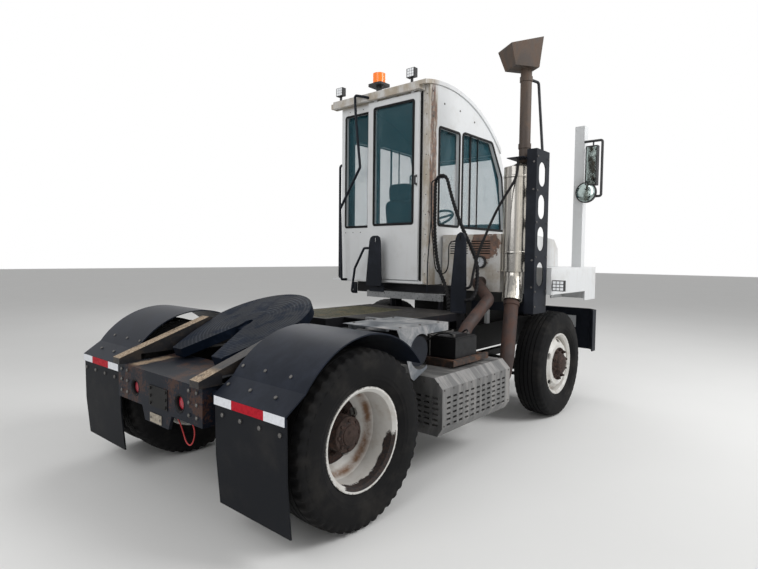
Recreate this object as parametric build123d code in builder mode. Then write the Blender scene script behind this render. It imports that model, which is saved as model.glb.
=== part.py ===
from build123d import *
import math
import os

os.makedirs("parts", exist_ok=True)

# Terminal tractor: +X forward, +Y to its left, +Z up, origin on the ground
# below the middle of the whole machine. All sizes are in millimetres.

# Axles and wheels
wheelbase = 2946
rear_axle_x = -1720
front_axle_x = rear_axle_x + wheelbase
tyre_radius = 520
tyre_width = 280
tyre_shoulder = 60
hub_height = tyre_radius
dual_outer_y = 1080
dual_inner_y = 745
front_tyre_y = 1030
kingpin_y = 856
rim_seat_radius = 286
rim_flange_radius = 303
rim_width = 222
rim_thickness = 14
disc_thickness = 12
hub_radius = 112
brake_drum_radius = 205
seat_gap = 0.3

# Chassis frame
rail_outer_y = 430
rail_web = 9
rail_flange = 90
rail_bottom_z = 620
rail_top_z = 874
rail_rear_x = -2330
rail_front_x = 2330
rail_inner_y = rail_outer_y - rail_web

# Tail
tail_plate_thickness = 20
tail_half_width = 535
tail_top_z = 822
tail_bottom_z = 590
lamp_hole_radius = 58
lamp_y = 285
lamp_z = 687
ramp_y = 500
ramp_width = 96
ramp_rear_x = -2380
ramp_rear_z = 862
ramp_front_x = -1700
ramp_front_z = 1093

# Fifth wheel and its boom
boom_pivot_x = -400
boom_pivot_z = 740
plate_pivot_x = -1611
plate_pivot_z = 995
plate_tilt = 21.9
plate_top_w = 105
plate_thickness = 16
plate_half_width = 457
plate_front_u = 463
plate_rear_u = -463
skirt_depth = 50
kingpin_bore = 25.7
pivot_pin_radius = 25
running_gap = 0.05
boom_half_width = 170
boom_side = 25
boom_cover = 12
boom_knee_x = -1040
boom_knee_z = 782
boom_rise_x = -1400
boom_rise_z = 905
lift_x = -1230
lift_z = 505
lift_eye_x = -1420
lift_eye_z = 870
lift_y = 250
lift_pin_radius = 16
lift_eye_play = 10
barrel_radius = 62
rod_radius = 38

# Rear fenders and flaps
fender_inner_y = 600
fender_outer_y = 1220
fender_radius = 612
fender_sheet = 8
flap_bottom_z = 168
flap_top_z = 742
lip_x = -2322
lip_top_z = 792
lip_bottom_z = 740

# Deck behind the cab
deck_top_z = 1060
deck_depth = 32
grating_rear_x = -940
grating_front_x = 90
grating_right_y = -50
grating_left_y = 560

# Cab
cab_rear_x = 440
cab_front_x = 2180
cab_left_y = 1140
cab_right_y = -80
cab_bottom_z = 1290
cab_floor_thickness = 60
cab_wall = 45
roof_sheet = 40
roof_centre_x = 746
roof_centre_z = 1712
roof_radius = 1650
roof_rear_x = 340
roof_front_x = 1910
roof_left_y = 1190
roof_right_y = -95
windshield_mid_x = 2085
windshield_mid_z = 2480
windshield_foot_z = 1920
glass_thickness = 8
glass_lap = 16
door_right_y = 20
door_left_y = 700
door_bottom_z = 1334
door_top_z = 3222
door_thickness = 36
door_gap = 8
door_travel = 500
track_height = 30
cab_pivot_x = 2120
cab_pivot_z = 1200
cab_pivot_radius = 25

# Hood and platform on the right
hood_rear_x = 680
hood_front_x = 2110
hood_right_y = -760
hood_left_y = -96
hood_top_z = 1815
hood_bottom_z = 1240
hood_sheet = 12
platform_rear_x = 966
platform_front_x = 2205
platform_outer_y = -1150
platform_top_z = 1480
platform_bottom_z = 1220
platform_sheet = 12

# Exhaust
stack_x = 790
stack_y = -930
stack_radius = 52
muffler_x = 730
muffler_y = -880
muffler_radius = 112
muffler_bottom_z = 1450
muffler_top_z = 2420
stack_bottom_z = 2560
cap_bottom_z = 3330
cap_top_z = 3600
cap_turn = -34.4
strut_top_z = 3240
lower_pipe_radius = 64
elbow_radius = 92
guard_rear_x = 680
guard_front_x = 960
guard_outer_y = -1105
guard_flange = 96
guard_lip = 24
guard_bottom_z = 1052
guard_top_z = 2570
guard_sheet = 8

# Aftertreatment box and battery
box_rear_x = -940
box_front_x = 50
box_outer_y = -1200
box_inner_y = -640
box_top_z = 735
box_bottom_z = 330
box_chamfer = 70
box_sheet = 4

# Front end
bumper_rear_x = 2330
bumper_front_x = 2380
bumper_half_width = 1150
bumper_bottom_z = 520
bumper_top_z = 990
mirror_reach_y = 1340
tow_eye_x = 2336
tow_eye_z = 465
tow_eye_radius = 20


def block(x0, x1, y0, y1, z0, z1, mode=Mode.ADD):
    """A plain bar or plate between two corners."""
    with Locations(((x0 + x1) / 2, (y0 + y1) / 2, (z0 + z1) / 2)):
        Box(abs(x1 - x0), abs(y1 - y0), abs(z1 - z0), mode=mode)


def bar(start, end, radius, mode=Mode.ADD):
    """A round bar from one point to another."""
    run = Vector(*end) - Vector(*start)
    with BuildSketch(Plane(origin=start, z_dir=run)) as section:
        Circle(radius)
    extrude(section.sketch, amount=run.length, mode=mode)


def bent_bar(points, bend, radius):
    """A round tube along straight runs joined by arcs of one bend radius."""
    with BuildLine() as path:
        FilletPolyline(*points, radius=bend)
    with BuildSketch(Plane(origin=path.line @ 0, z_dir=path.line % 0)) as section:
        Circle(radius)
    sweep(section.sketch, path=path.line)


def side_profile(points, y0, y1, mode=Mode.ADD):
    """A plate or body whose outline is seen from the side, between two widths."""
    with BuildSketch(Plane.XZ.offset(-y1)) as outline:
        with BuildLine():
            Polyline(*points, close=True)
        make_face()
    extrude(outline.sketch, amount=y1 - y0, mode=mode)


def save(piece, name):
    piece.part.label = name
    export_step(piece.part, "parts/" + name + ".step")


# Frame rails, two channels joined by cross members, with the cab's pivot bar
# and the hangers of the lift cylinders
# Each cross member has a place along the frame and a lower edge.
cross_members = ((-2090, 650), (330, 745), (700, 745), (1900, 650), (2270, 650))
with BuildPart() as frame_rails:
    for side in (-1, 1):
        web = side * rail_outer_y
        inner = side * rail_inner_y
        lip = side * (rail_outer_y - rail_flange)
        block(rail_rear_x, rail_front_x, web, inner, rail_bottom_z, rail_top_z)
        block(rail_rear_x, rail_front_x, web, lip, rail_bottom_z, rail_bottom_z + rail_web)
        block(rail_rear_x, rail_front_x, web, lip, rail_top_z - rail_web, rail_top_z)
        block(cab_pivot_x - 60, cab_pivot_x + 60, side * 350, side * 366, rail_top_z, cab_pivot_z + 28)
        block(lift_x - 70, lift_x + 70, side * (rail_inner_y - 14), inner, lift_z - 122, rail_top_z - 40)
        block(boom_pivot_x - 80, boom_pivot_x + 80, side * 200, side * 224, 650, 830)
    for x, low in cross_members:
        block(x - 5, x + 5, -rail_inner_y, rail_inner_y, low, rail_top_z - 30)
        block(x - 5, x + 45, -rail_inner_y, rail_inner_y, low, low + 8)
        block(x - 5, x + 45, -rail_inner_y, rail_inner_y, rail_top_z - 38, rail_top_z - 30)
    block(boom_pivot_x + 80, boom_pivot_x + 92, -rail_inner_y, rail_inner_y, 690, 844)
    block(lift_x - 60, lift_x + 60, -rail_inner_y, rail_inner_y, lift_z - 122, lift_z - 102)
    for side in (-1, 1):
        for edge in (lift_y - 32, lift_y + 22):
            block(lift_x - 26, lift_x + 26, side * edge, side * (edge + 10), lift_z - 102, lift_z + 22)
        bar((lift_x, side * (lift_y - 32), lift_z), (lift_x, side * (lift_y + 32), lift_z), 20)
    bar((cab_pivot_x, -366, cab_pivot_z), (cab_pivot_x, cab_left_y - 50, cab_pivot_z), cab_pivot_radius)
    bar((boom_pivot_x, -224, boom_pivot_z), (boom_pivot_x, 224, boom_pivot_z), 30, mode=Mode.SUBTRACT)
    for side in (-1, 1):
        low_y = min(side * 375, side * 399)
        side_profile(
            (
                (2200, rail_bottom_z), (2320, rail_bottom_z), (2320, 505), (2372, 505), (2372, 425),
                (2290, 425), (2200, 560),
            ),
            low_y, low_y + 24,
        )
        bar((tow_eye_x, side * 360, tow_eye_z), (tow_eye_x, side * 410, tow_eye_z), tow_eye_radius,
            mode=Mode.SUBTRACT)
    side_profile(
        ((rail_rear_x - 10, 811.4), (rail_rear_x, 812), (-1950, 838), (-1950, 920), (rail_rear_x - 10, 920)),
        -480, 480, mode=Mode.SUBTRACT,
    )
save(frame_rails, "frame_rails")

# Tail plate with two lamp holes, its side wings and the sloping cover behind
cover_low = ((rail_rear_x, 812), (-1950, 838))
with BuildPart() as tail_plate:
    with BuildSketch(Plane.YZ.offset(rail_rear_x - tail_plate_thickness)):
        with BuildLine():
            Polyline(
                (-tail_half_width, tail_bottom_z), (-190, tail_bottom_z), (-150, 500), (150, 500),
                (190, tail_bottom_z), (tail_half_width, tail_bottom_z),
                (tail_half_width, tail_top_z), (-tail_half_width, tail_top_z), close=True,
            )
        make_face()
        with Locations((-lamp_y, lamp_z), (lamp_y, lamp_z)):
            Circle(lamp_hole_radius, mode=Mode.SUBTRACT)
    extrude(amount=tail_plate_thickness)
    for side in (-1, 1):
        block(rail_rear_x, rail_rear_x + 200, side * tail_half_width, side * (tail_half_width - 12),
              tail_bottom_z, tail_top_z)
        block(rail_rear_x + 60, rail_rear_x + 72, side * tail_half_width, side * rail_outer_y,
              tail_bottom_z, tail_top_z)
    side_profile(
        (cover_low[0], cover_low[1], (cover_low[1][0], cover_low[1][1] + 10), (rail_rear_x - 20, tail_top_z),
         (rail_rear_x - 20, 812)),
        -(ramp_y - ramp_width / 2 - seat_gap), ramp_y - ramp_width / 2 - seat_gap,
    )
save(tail_plate, "tail_plate")

# Guide ramps that lift a trailer's nose, one on each side of the fifth wheel
with BuildPart() as guide_ramps:
    for side in (-1, 1):
        side_profile(
            (
                (ramp_rear_x, ramp_rear_z), (ramp_front_x, ramp_front_z), (ramp_front_x + 60, ramp_front_z - 20),
                (ramp_front_x + 60, rail_top_z), (rail_rear_x + 100, rail_top_z),
                (rail_rear_x + 100, tail_top_z), (ramp_rear_x, tail_top_z),
            ),
            side * ramp_y - ramp_width / 2, side * ramp_y + ramp_width / 2,
        )
save(guide_ramps, "guide_ramps")

# Rear fenders: a rolled arch, a sloping shelf behind it and a lip that takes the tape
arch_x = rear_axle_x + 20
arch_z = hub_height
arch_rear_angle = 144
arch_front_angle = 38


def on_arch(radius, angle):
    turn = math.radians(angle)
    return (arch_x + radius * math.cos(turn), arch_z + radius * math.sin(turn))


with BuildPart() as rear_fenders:
    for side in (-1, 1):
        low_y = min(side * fender_inner_y, side * fender_outer_y)
        inner_radius = fender_radius - fender_sheet
        with BuildSketch(Plane.XZ.offset(-(low_y + fender_outer_y - fender_inner_y))):
            with BuildLine():
                outer_arc = ThreePointArc(
                    on_arch(fender_radius, arch_rear_angle), on_arch(fender_radius, 90),
                    on_arch(fender_radius, arch_front_angle),
                )
                Line(outer_arc @ 1, on_arch(inner_radius, arch_front_angle))
                inner_arc = ThreePointArc(
                    on_arch(inner_radius, arch_front_angle), on_arch(inner_radius, 90),
                    on_arch(inner_radius, arch_rear_angle),
                )
                Polyline(
                    inner_arc @ 1, (lip_x + fender_sheet, lip_top_z - 6), (lip_x + fender_sheet, lip_bottom_z),
                    (lip_x, lip_bottom_z), (lip_x, lip_top_z), outer_arc @ 0,
                )
            make_face()
        extrude(amount=fender_outer_y - fender_inner_y)
        bar((-2272, side * tail_half_width, 780), (-2272, side * 1100, 780), 17)
        block(-2290, -2254, side * 640, side * 680, 790, 812)
        block(-2290, -2254, side * 1000, side * 1040, 790, 812)
        front_bar = on_arch(fender_radius + 15, arch_front_angle)
        bar((front_bar[0], side * 400, front_bar[1]), (front_bar[0], side * 1000, front_bar[1]), 17)
        block(front_bar[0] - 20, front_bar[0] + 20, side * 360, side * 420, rail_top_z, front_bar[1])
save(rear_fenders, "rear_fenders")

# Mudflaps hung from the fenders' lips
with BuildPart() as mudflaps:
    for side in (-1, 1):
        side_profile(
            (
                (lip_x + fender_sheet, flap_top_z + 34), (lip_x + fender_sheet + 10, flap_top_z + 34),
                (lip_x + fender_sheet + 14, 450), (lip_x + fender_sheet + 40, flap_bottom_z),
                (lip_x + fender_sheet + 30, flap_bottom_z), (lip_x + fender_sheet + 4, 450),
            ),
            min(side * fender_inner_y, side * fender_outer_y) + 4,
            max(side * fender_inner_y, side * fender_outer_y) - 4,
        )
save(mudflaps, "mudflaps")


# Wheels: tyre and rim rings, both turned about the axle's line
def tyre_ring(x, y):
    half = tyre_width / 2
    bead = rim_seat_radius + seat_gap
    with BuildSketch(Plane.XY.offset(hub_height)) as section:
        with BuildLine():
            Polyline((x + bead, y - 95), (x + rim_flange_radius + 0.5, y - 101), (x + 330, y - 122),
                     (x + 400, y - half))
            Line((x + 400, y - half), (x + tyre_radius - tyre_shoulder, y - half + 4))
            ThreePointArc(
                (x + tyre_radius - tyre_shoulder, y - half + 4),
                (x + tyre_radius - 18, y - half + 22),
                (x + tyre_radius, y - half + 50),
            )
            Line((x + tyre_radius, y - half + 50), (x + tyre_radius, y + half - 50))
            ThreePointArc(
                (x + tyre_radius, y + half - 50),
                (x + tyre_radius - 18, y + half - 22),
                (x + tyre_radius - tyre_shoulder, y + half - 4),
            )
            Polyline(
                (x + tyre_radius - tyre_shoulder, y + half - 4), (x + 400, y + half),
                (x + 330, y + 122), (x + rim_flange_radius + 0.5, y + 101), (x + bead, y + 95),
                (x + bead, y - 95),
            )
        make_face()
    revolve(section.sketch, axis=Axis((x, 0, hub_height), (0, 1, 0)))


def rim_ring(x, y):
    half = rim_width / 2
    with BuildSketch(Plane.XY.offset(hub_height)) as section:
        with BuildLine():
            Polyline(
                (x + rim_flange_radius, y - half), (x + rim_flange_radius, y - half + 8),
                (x + rim_seat_radius, y - half + 14), (x + rim_seat_radius, y + half - 14),
                (x + rim_flange_radius, y + half - 8), (x + rim_flange_radius, y + half),
                (x + rim_flange_radius - 12, y + half), (x + rim_seat_radius - rim_thickness, y + half - 18),
                (x + rim_seat_radius - rim_thickness, y - half + 18), (x + rim_flange_radius - 12, y - half),
                close=True,
            )
        make_face()
    revolve(section.sketch, axis=Axis((x, 0, hub_height), (0, 1, 0)))


def turned(points, x):
    """A body turned about an axle: each point is a radius and a width."""
    with BuildSketch(Plane.XY.offset(hub_height)) as section:
        with BuildLine():
            Polyline(*[(x + radius, y) for radius, y in points], close=True)
        make_face()
    revolve(section.sketch, axis=Axis((x, 0, hub_height), (0, 1, 0)))


hand_holes = 5
hand_hole_radius = 190
front_hole_radius = 225
mount_face_y = (dual_outer_y + dual_inner_y) / 2
front_disc_y = front_tyre_y + 96
for side, word in ((1, "left"), (-1, "right")):
    with BuildPart() as tyre_rear:
        tyre_ring(rear_axle_x, side * dual_outer_y)
        tyre_ring(rear_axle_x, side * dual_inner_y)
    save(tyre_rear, "tyre_rear_" + word)

    with BuildPart() as rim_rear:
        rim_ring(rear_axle_x, side * dual_outer_y)
        rim_ring(rear_axle_x, side * dual_inner_y)
        bowl = rim_seat_radius - rim_thickness
        for turn in (-1, 1):
            face = side * mount_face_y
            reach = side * turn
            turned(
                (
                    (90, face), (90, face + reach * disc_thickness), (200, face + reach * disc_thickness),
                    (252, face + reach * 72), (bowl + 2, face + reach * 110), (bowl + 2, face + reach * 92),
                    (262, face + reach * 62), (206, face),
                ),
                rear_axle_x,
            )
        turned(
            (
                (0, side * 640), (brake_drum_radius, side * 640), (brake_drum_radius, side * 800),
                (150, side * 830), (150, side * (mount_face_y + 24)), (hub_radius, side * (mount_face_y + 30)),
                (hub_radius - 10, side * 1050), (70, side * 1078), (0, side * 1078),
            ),
            rear_axle_x,
        )
        with BuildSketch(Plane.XZ.offset(-side * mount_face_y)):
            with Locations((rear_axle_x, hub_height)):
                with PolarLocations(hand_hole_radius, hand_holes, start_angle=20):
                    SlotOverall(74, 50, rotation=90)
        extrude(amount=120, both=True, mode=Mode.SUBTRACT)
    save(rim_rear, "rim_rear_" + word)

    with BuildPart() as tyre_front:
        tyre_ring(front_axle_x, side * front_tyre_y)
    save(tyre_front, "tyre_front_" + word)

    with BuildPart() as rim_front:
        rim_ring(front_axle_x, side * front_tyre_y)
        turned(
            (
                (80, side * front_disc_y), (80, side * (front_disc_y + disc_thickness)),
                (205, side * (front_disc_y + disc_thickness)), (250, side * (front_disc_y - 30)),
                (bowl + 2, side * (front_disc_y - 60)), (bowl + 2, side * (front_disc_y - 78)),
                (244, side * (front_disc_y - 46)), (200, side * front_disc_y),
            ),
            front_axle_x,
        )
        turned(
            (
                (0, side * (kingpin_y + 78)), (brake_drum_radius, side * (kingpin_y + 78)),
                (brake_drum_radius, side * (front_disc_y - 68)), (140, side * (front_disc_y - 6)),
                (hub_radius, side * (front_disc_y + disc_thickness + 4)), (90, side * (front_disc_y + 56)),
                (60, side * (front_disc_y + 66)), (0, side * (front_disc_y + 66)),
            ),
            front_axle_x,
        )
        with BuildSketch(Plane.XZ.offset(-side * (front_disc_y - 20))):
            with Locations((front_axle_x, hub_height)):
                with PolarLocations(front_hole_radius, hand_holes, start_angle=10):
                    SlotOverall(66, 32, rotation=90)
        extrude(amount=40, both=True, mode=Mode.SUBTRACT)
    save(rim_front, "rim_front_" + word)

# Rear axle bolted straight to the frame, with its brake chambers and drive shaft
with BuildPart() as rear_axle:
    bar((rear_axle_x, -640 + seat_gap, hub_height), (rear_axle_x, 640 - seat_gap, hub_height), 74)
    with Locations((rear_axle_x, 0, hub_height)):
        Sphere(205)
    bar((rear_axle_x, 0, hub_height), (rear_axle_x + 330, 0, hub_height + 20), 70)
    bar((rear_axle_x + 330, 0, hub_height + 20), (775, 0, 700), 45)
    for side in (-1, 1):
        block(rear_axle_x - 110, rear_axle_x + 110, side * 345, side * 425, hub_height - 20, rail_bottom_z)
        bar((rear_axle_x - 130, side * 510, 545), (rear_axle_x - 290, side * 510, 545), 82)
        bar((rear_axle_x, side * 510, 520), (rear_axle_x - 150, side * 510, 545), 26)
save(rear_axle, "rear_axle")

# Front axle beam on two leaf springs
beam_z = 452
with BuildPart() as front_axle:
    block(front_axle_x - 45, front_axle_x + 45, -640, 640, beam_z - 60, beam_z - 44)
    block(front_axle_x - 45, front_axle_x + 45, -640, 640, beam_z + 44, beam_z + 60)
    block(front_axle_x - 9, front_axle_x + 9, -640, 640, beam_z - 60, beam_z + 60)
    for side in (-1, 1):
        for low, high, floor, top in (
            (610, 740, 402, 508), (740, kingpin_y - 70, 442, 548), (kingpin_y - 80, kingpin_y, 474, 566),
        ):
            block(front_axle_x - 40, front_axle_x + 40, side * low, side * high, floor, top)
        bar((front_axle_x, side * kingpin_y, hub_height - 48), (front_axle_x, side * kingpin_y, hub_height + 48), 44)
        bar((front_axle_x, side * kingpin_y, hub_height - 105), (front_axle_x, side * kingpin_y, hub_height + 105), 22)
        for reach, low, high in ((330, beam_z + 60, beam_z + 84), (480, beam_z + 84, beam_z + 104)):
            block(front_axle_x - reach, front_axle_x + reach, side * 350, side * 422, low, high)
        side_profile(
            (
                (front_axle_x - 620, rail_bottom_z - 30), (front_axle_x - 500, beam_z + 104),
                (front_axle_x + 500, beam_z + 104), (front_axle_x + 620, rail_bottom_z - 30),
                (front_axle_x + 620, rail_bottom_z), (front_axle_x + 590, rail_bottom_z),
                (front_axle_x + 460, beam_z + 126), (front_axle_x - 460, beam_z + 126),
                (front_axle_x - 590, rail_bottom_z), (front_axle_x - 620, rail_bottom_z),
            ),
            min(side * 350, side * 422), max(side * 350, side * 422),
        )
save(front_axle, "front_axle")

# Steering knuckles that turn about the kingpins, and the rod that ties them
arm_back = 190
arm_z = hub_height - 90
for side, word in ((1, "left"), (-1, "right")):
    with BuildPart() as knuckle:
        for low, high in ((hub_height - 92, hub_height - 54), (hub_height + 54, hub_height + 92)):
            bar((front_axle_x, side * kingpin_y, low), (front_axle_x, side * kingpin_y, high), 48)
            block(front_axle_x - 40, front_axle_x + 40, side * kingpin_y, side * (kingpin_y + 66), low, high)
        block(front_axle_x - 60, front_axle_x + 60, side * (kingpin_y + 52), side * (kingpin_y + 78 - seat_gap),
              hub_height - 92, hub_height + 92)
        block(front_axle_x - arm_back, front_axle_x, side * (kingpin_y - 24), side * (kingpin_y + 24),
              arm_z - 2, arm_z + 28)
        bar((front_axle_x, side * kingpin_y, 0), (front_axle_x, side * kingpin_y, 900), 22 + running_gap,
            mode=Mode.SUBTRACT)
        bar((front_axle_x - arm_back, side * kingpin_y, arm_z - 2),
            (front_axle_x - arm_back, side * kingpin_y, arm_z + 28), 30)
        bar((front_axle_x - arm_back, side * kingpin_y, arm_z - 60),
            (front_axle_x - arm_back, side * kingpin_y, arm_z), 11)
    save(knuckle, "knuckle_" + word)

with BuildPart() as tie_rod:
    rod_z = arm_z - 34
    bar((front_axle_x - arm_back, -kingpin_y, rod_z), (front_axle_x - arm_back, kingpin_y, rod_z), 17)
    for side in (-1, 1):
        bar((front_axle_x - arm_back, side * kingpin_y, rod_z - 22),
            (front_axle_x - arm_back, side * kingpin_y, rod_z + 22), 26)
    for side in (-1, 1):
        bar((front_axle_x - arm_back, side * kingpin_y, 0),
            (front_axle_x - arm_back, side * kingpin_y, 900), 11 + running_gap, mode=Mode.SUBTRACT)
save(tie_rod, "tie_rod")

# Boom between the rails: two side plates, a cover and its cross tubes
with BuildPart() as boom:
    for side in (-1, 1):
        side_profile(
            (
                (boom_pivot_x + 60, boom_pivot_z - 30), (boom_pivot_x + 60, boom_pivot_z + 30),
                (boom_pivot_x + 20, boom_pivot_z + 60), (boom_knee_x, boom_knee_z),
                (boom_rise_x, boom_rise_z), (-1560, 1025),
                (-1600, 1042), (-1640, 1036), (-1656, 995), (-1640, 950), (-1480, 800), (-1300, 760),
                (-1000, 676), (boom_pivot_x, boom_pivot_z - 60),
            ),
            min(side * boom_half_width, side * (boom_half_width - boom_side)),
            max(side * boom_half_width, side * (boom_half_width - boom_side)),
        )
    side_profile(
        (
            (boom_pivot_x - 40, boom_pivot_z + 59), (boom_knee_x, boom_knee_z), (boom_rise_x, boom_rise_z),
            (boom_rise_x, boom_rise_z - boom_cover), (boom_knee_x, boom_knee_z - boom_cover),
            (boom_pivot_x - 40, boom_pivot_z + 59 - boom_cover),
        ),
        -boom_half_width, boom_half_width,
    )
    bar((boom_pivot_x, -196, boom_pivot_z), (boom_pivot_x, 196, boom_pivot_z), 45)
    bar((boom_pivot_x, -224, boom_pivot_z), (boom_pivot_x, 224, boom_pivot_z), 30 - running_gap)
    bar((plate_pivot_x, -226, plate_pivot_z), (plate_pivot_x, 226, plate_pivot_z), 36)
    bar((plate_pivot_x, -262, plate_pivot_z), (plate_pivot_x, 262, plate_pivot_z), pivot_pin_radius)
    bar((lift_eye_x, -lift_y + 45, lift_eye_z), (lift_eye_x, lift_y - 45, lift_eye_z), 32)
    bar((lift_eye_x, -lift_y - 30, lift_eye_z), (lift_eye_x, lift_y + 30, lift_eye_z), lift_pin_radius)
save(boom, "boom")

# Lift cylinders that raise the boom
lift_run = Vector(lift_eye_x - lift_x, 0, lift_eye_z - lift_z)
lift_length = lift_run.length
lift_direction = lift_run / lift_length
barrel_length = lift_length - 44


def along_lift(distance, y):
    spot = Vector(lift_x, y, lift_z) + lift_direction * distance
    return (spot.X, spot.Y, spot.Z)


with BuildPart() as lift_barrels:
    for side in (-1, 1):
        y = side * lift_y
        bar(along_lift(66, y), along_lift(barrel_length, y), barrel_radius)
        bar(along_lift(8, y), along_lift(70, y), 17)
        bar((lift_x, y - 20, lift_z), (lift_x, y + 20, lift_z), 34)
        bar(along_lift(76, y), along_lift(barrel_length, y), rod_radius + running_gap, mode=Mode.SUBTRACT)
        bar((lift_x, y - 30, lift_z), (lift_x, y + 30, lift_z), 20 + running_gap, mode=Mode.SUBTRACT)
save(lift_barrels, "lift_barrels")

with BuildPart() as lift_rods:
    for side in (-1, 1):
        y = side * lift_y
        bar(along_lift(80, y), along_lift(lift_length - 34, y), rod_radius)
        bar((lift_eye_x, y - 18, lift_eye_z), (lift_eye_x, y + 18, lift_eye_z), 40)
        bar((lift_eye_x, y - 45, lift_eye_z), (lift_eye_x, y + 45, lift_eye_z),
            lift_pin_radius + lift_eye_play, mode=Mode.SUBTRACT)
save(lift_rods, "lift_rods")

# Fifth wheel: a horseshoe plate with a skirt, two pivot ears and the locked jaw
plate_frame = Plane(
    origin=(plate_pivot_x, 0, plate_pivot_z),
    x_dir=(math.cos(math.radians(plate_tilt)), 0, math.sin(math.radians(plate_tilt))),
    z_dir=(-math.sin(math.radians(plate_tilt)), 0, math.cos(math.radians(plate_tilt))),
)


def horseshoe(inset, mode=Mode.ADD):
    """The plate's outline, drawn in from its edge by an inset."""
    wide = plate_half_width - inset
    with BuildLine() as outline:
        front = ThreePointArc((60, wide), (plate_front_u - inset, 0), (60, -wide))
        Polyline(front @ 1, (-250, -385 + inset), (plate_rear_u + inset, -300 + inset),
                 (plate_rear_u + inset, -190 - inset), (-70, -34 - inset), (-20, -34 - inset))
        ThreePointArc((-20, -34 - inset), (14 + inset, 0), (-20, 34 + inset))
        Polyline((-20, 34 + inset), (-70, 34 + inset), (plate_rear_u + inset, 190 + inset),
                 (plate_rear_u + inset, 300 - inset), (-250, 385 - inset), front @ 0)
    make_face(outline.edges(), mode=mode)


skirt_w = plate_top_w - plate_thickness - skirt_depth
with BuildPart() as fifth_wheel:
    with BuildSketch(plate_frame.offset(plate_top_w - plate_thickness)):
        horseshoe(0)
    extrude(amount=plate_thickness)
    with BuildSketch(plate_frame.offset(skirt_w)):
        horseshoe(0)
        horseshoe(14, mode=Mode.SUBTRACT)
    extrude(amount=skirt_depth)
    with BuildSketch(plate_frame.offset(skirt_w + 6)):
        Rectangle(176, 180)
    extrude(amount=skirt_depth - 6)
    with BuildSketch(plate_frame.offset(skirt_w + 6)):
        Circle(kingpin_bore)
    extrude(amount=100, mode=Mode.SUBTRACT)
    for side in (-1, 1):
        ear_y = side * 246
        ear = Plane(origin=(plate_pivot_x, ear_y + 13, plate_pivot_z), x_dir=plate_frame.x_dir, z_dir=(0, -1, 0))
        with BuildSketch(ear):
            Circle(48)
            with BuildLine():
                Polyline((-48, 0), (-150, plate_top_w - plate_thickness), (150, plate_top_w - plate_thickness),
                         (48, 0), close=True)
            make_face()
            Circle(pivot_pin_radius + running_gap, mode=Mode.SUBTRACT)
        extrude(amount=26)
save(fifth_wheel, "fifth_wheel")

# Deck: open grating in an angle frame, with a plain plate on its right
grating_bars = 26
grating_slats = 8
with BuildPart() as deck_grating:
    low = deck_top_z - deck_depth + 4
    for edge in (grating_right_y, grating_left_y - 12):
        block(grating_rear_x, grating_front_x, edge, edge + 12, low, deck_top_z)
    for edge in (grating_rear_x, grating_front_x - 12):
        block(edge, edge + 12, grating_right_y, grating_left_y, low, deck_top_z)
    pitch = (grating_front_x - grating_rear_x - 12) / grating_bars
    for count in range(1, grating_bars):
        x = grating_rear_x + count * pitch
        block(x, x + 14, grating_right_y, grating_left_y, low, deck_top_z - 1)
    slat_pitch = (grating_left_y - grating_right_y - 12) / grating_slats
    for count in range(1, grating_slats):
        y = grating_right_y + count * slat_pitch
        block(grating_rear_x, grating_front_x, y, y + 12, low, low + 10)
save(deck_grating, "deck_grating")

# Deck frame on the rails, the plate beside the grating, and the step beam below the door
deck_right_y = -590
deck_front_x = 330
step_x = 330
step_z = 1200
step_depth = 110
with BuildPart() as deck_frame:
    under = deck_top_z - deck_depth
    for edge in (grating_right_y - 30, grating_left_y):
        block(grating_rear_x - 30, deck_front_x, edge, edge + 30, under - 40, deck_top_z)
    for edge in (grating_rear_x - 30, grating_front_x):
        block(edge, edge + 30, grating_right_y - 30, grating_left_y + 30, under - 40, deck_top_z)
    block(grating_rear_x, grating_front_x, grating_right_y, grating_right_y + 40, under - 6, under + 4)
    block(grating_rear_x, grating_front_x, grating_left_y - 40, grating_left_y, under - 6, under + 4)
    block(grating_rear_x + 180, deck_front_x, deck_right_y, grating_right_y - 30, deck_top_z - 10, deck_top_z)
    block(grating_rear_x + 180, deck_front_x, deck_right_y, deck_right_y + 10, deck_top_z - 70, deck_top_z)
    block(grating_front_x + 30, deck_front_x, grating_right_y - 30, grating_left_y + 30,
          deck_top_z - 10, deck_top_z)
    for x in (grating_rear_x - 30, grating_front_x, deck_front_x - 30):
        for side in (-1, 1):
            block(x, x + 30, side * 345, side * 425, rail_top_z, deck_top_z - 10)
    block(step_x, step_x + step_depth, -320, 640, step_z, step_z + 8)
    block(step_x, step_x + 8, -320, 640, step_z - 60, step_z)
    for side in (-1, 1):
        block(step_x, step_x + 60, side * 300 - 8, side * 300 + 8, deck_top_z - 10, step_z)
        block(step_x + 130, step_x + 230, side * 380 - 40, side * 380 + 40, rail_top_z, cab_bottom_z - seat_gap)
    block(step_x + 130, step_x + 230, -340, 900, cab_bottom_z - 110, cab_bottom_z - seat_gap)
    for z in (430, 740):
        block(300, 560, 620, 1120, z, z + 30)
    for x in (300, 552):
        block(x, x + 8, 620, 1120, 430, 770)
    block(380, 480, rail_outer_y, 620, 740, 770)
save(deck_frame, "deck_frame")


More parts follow.
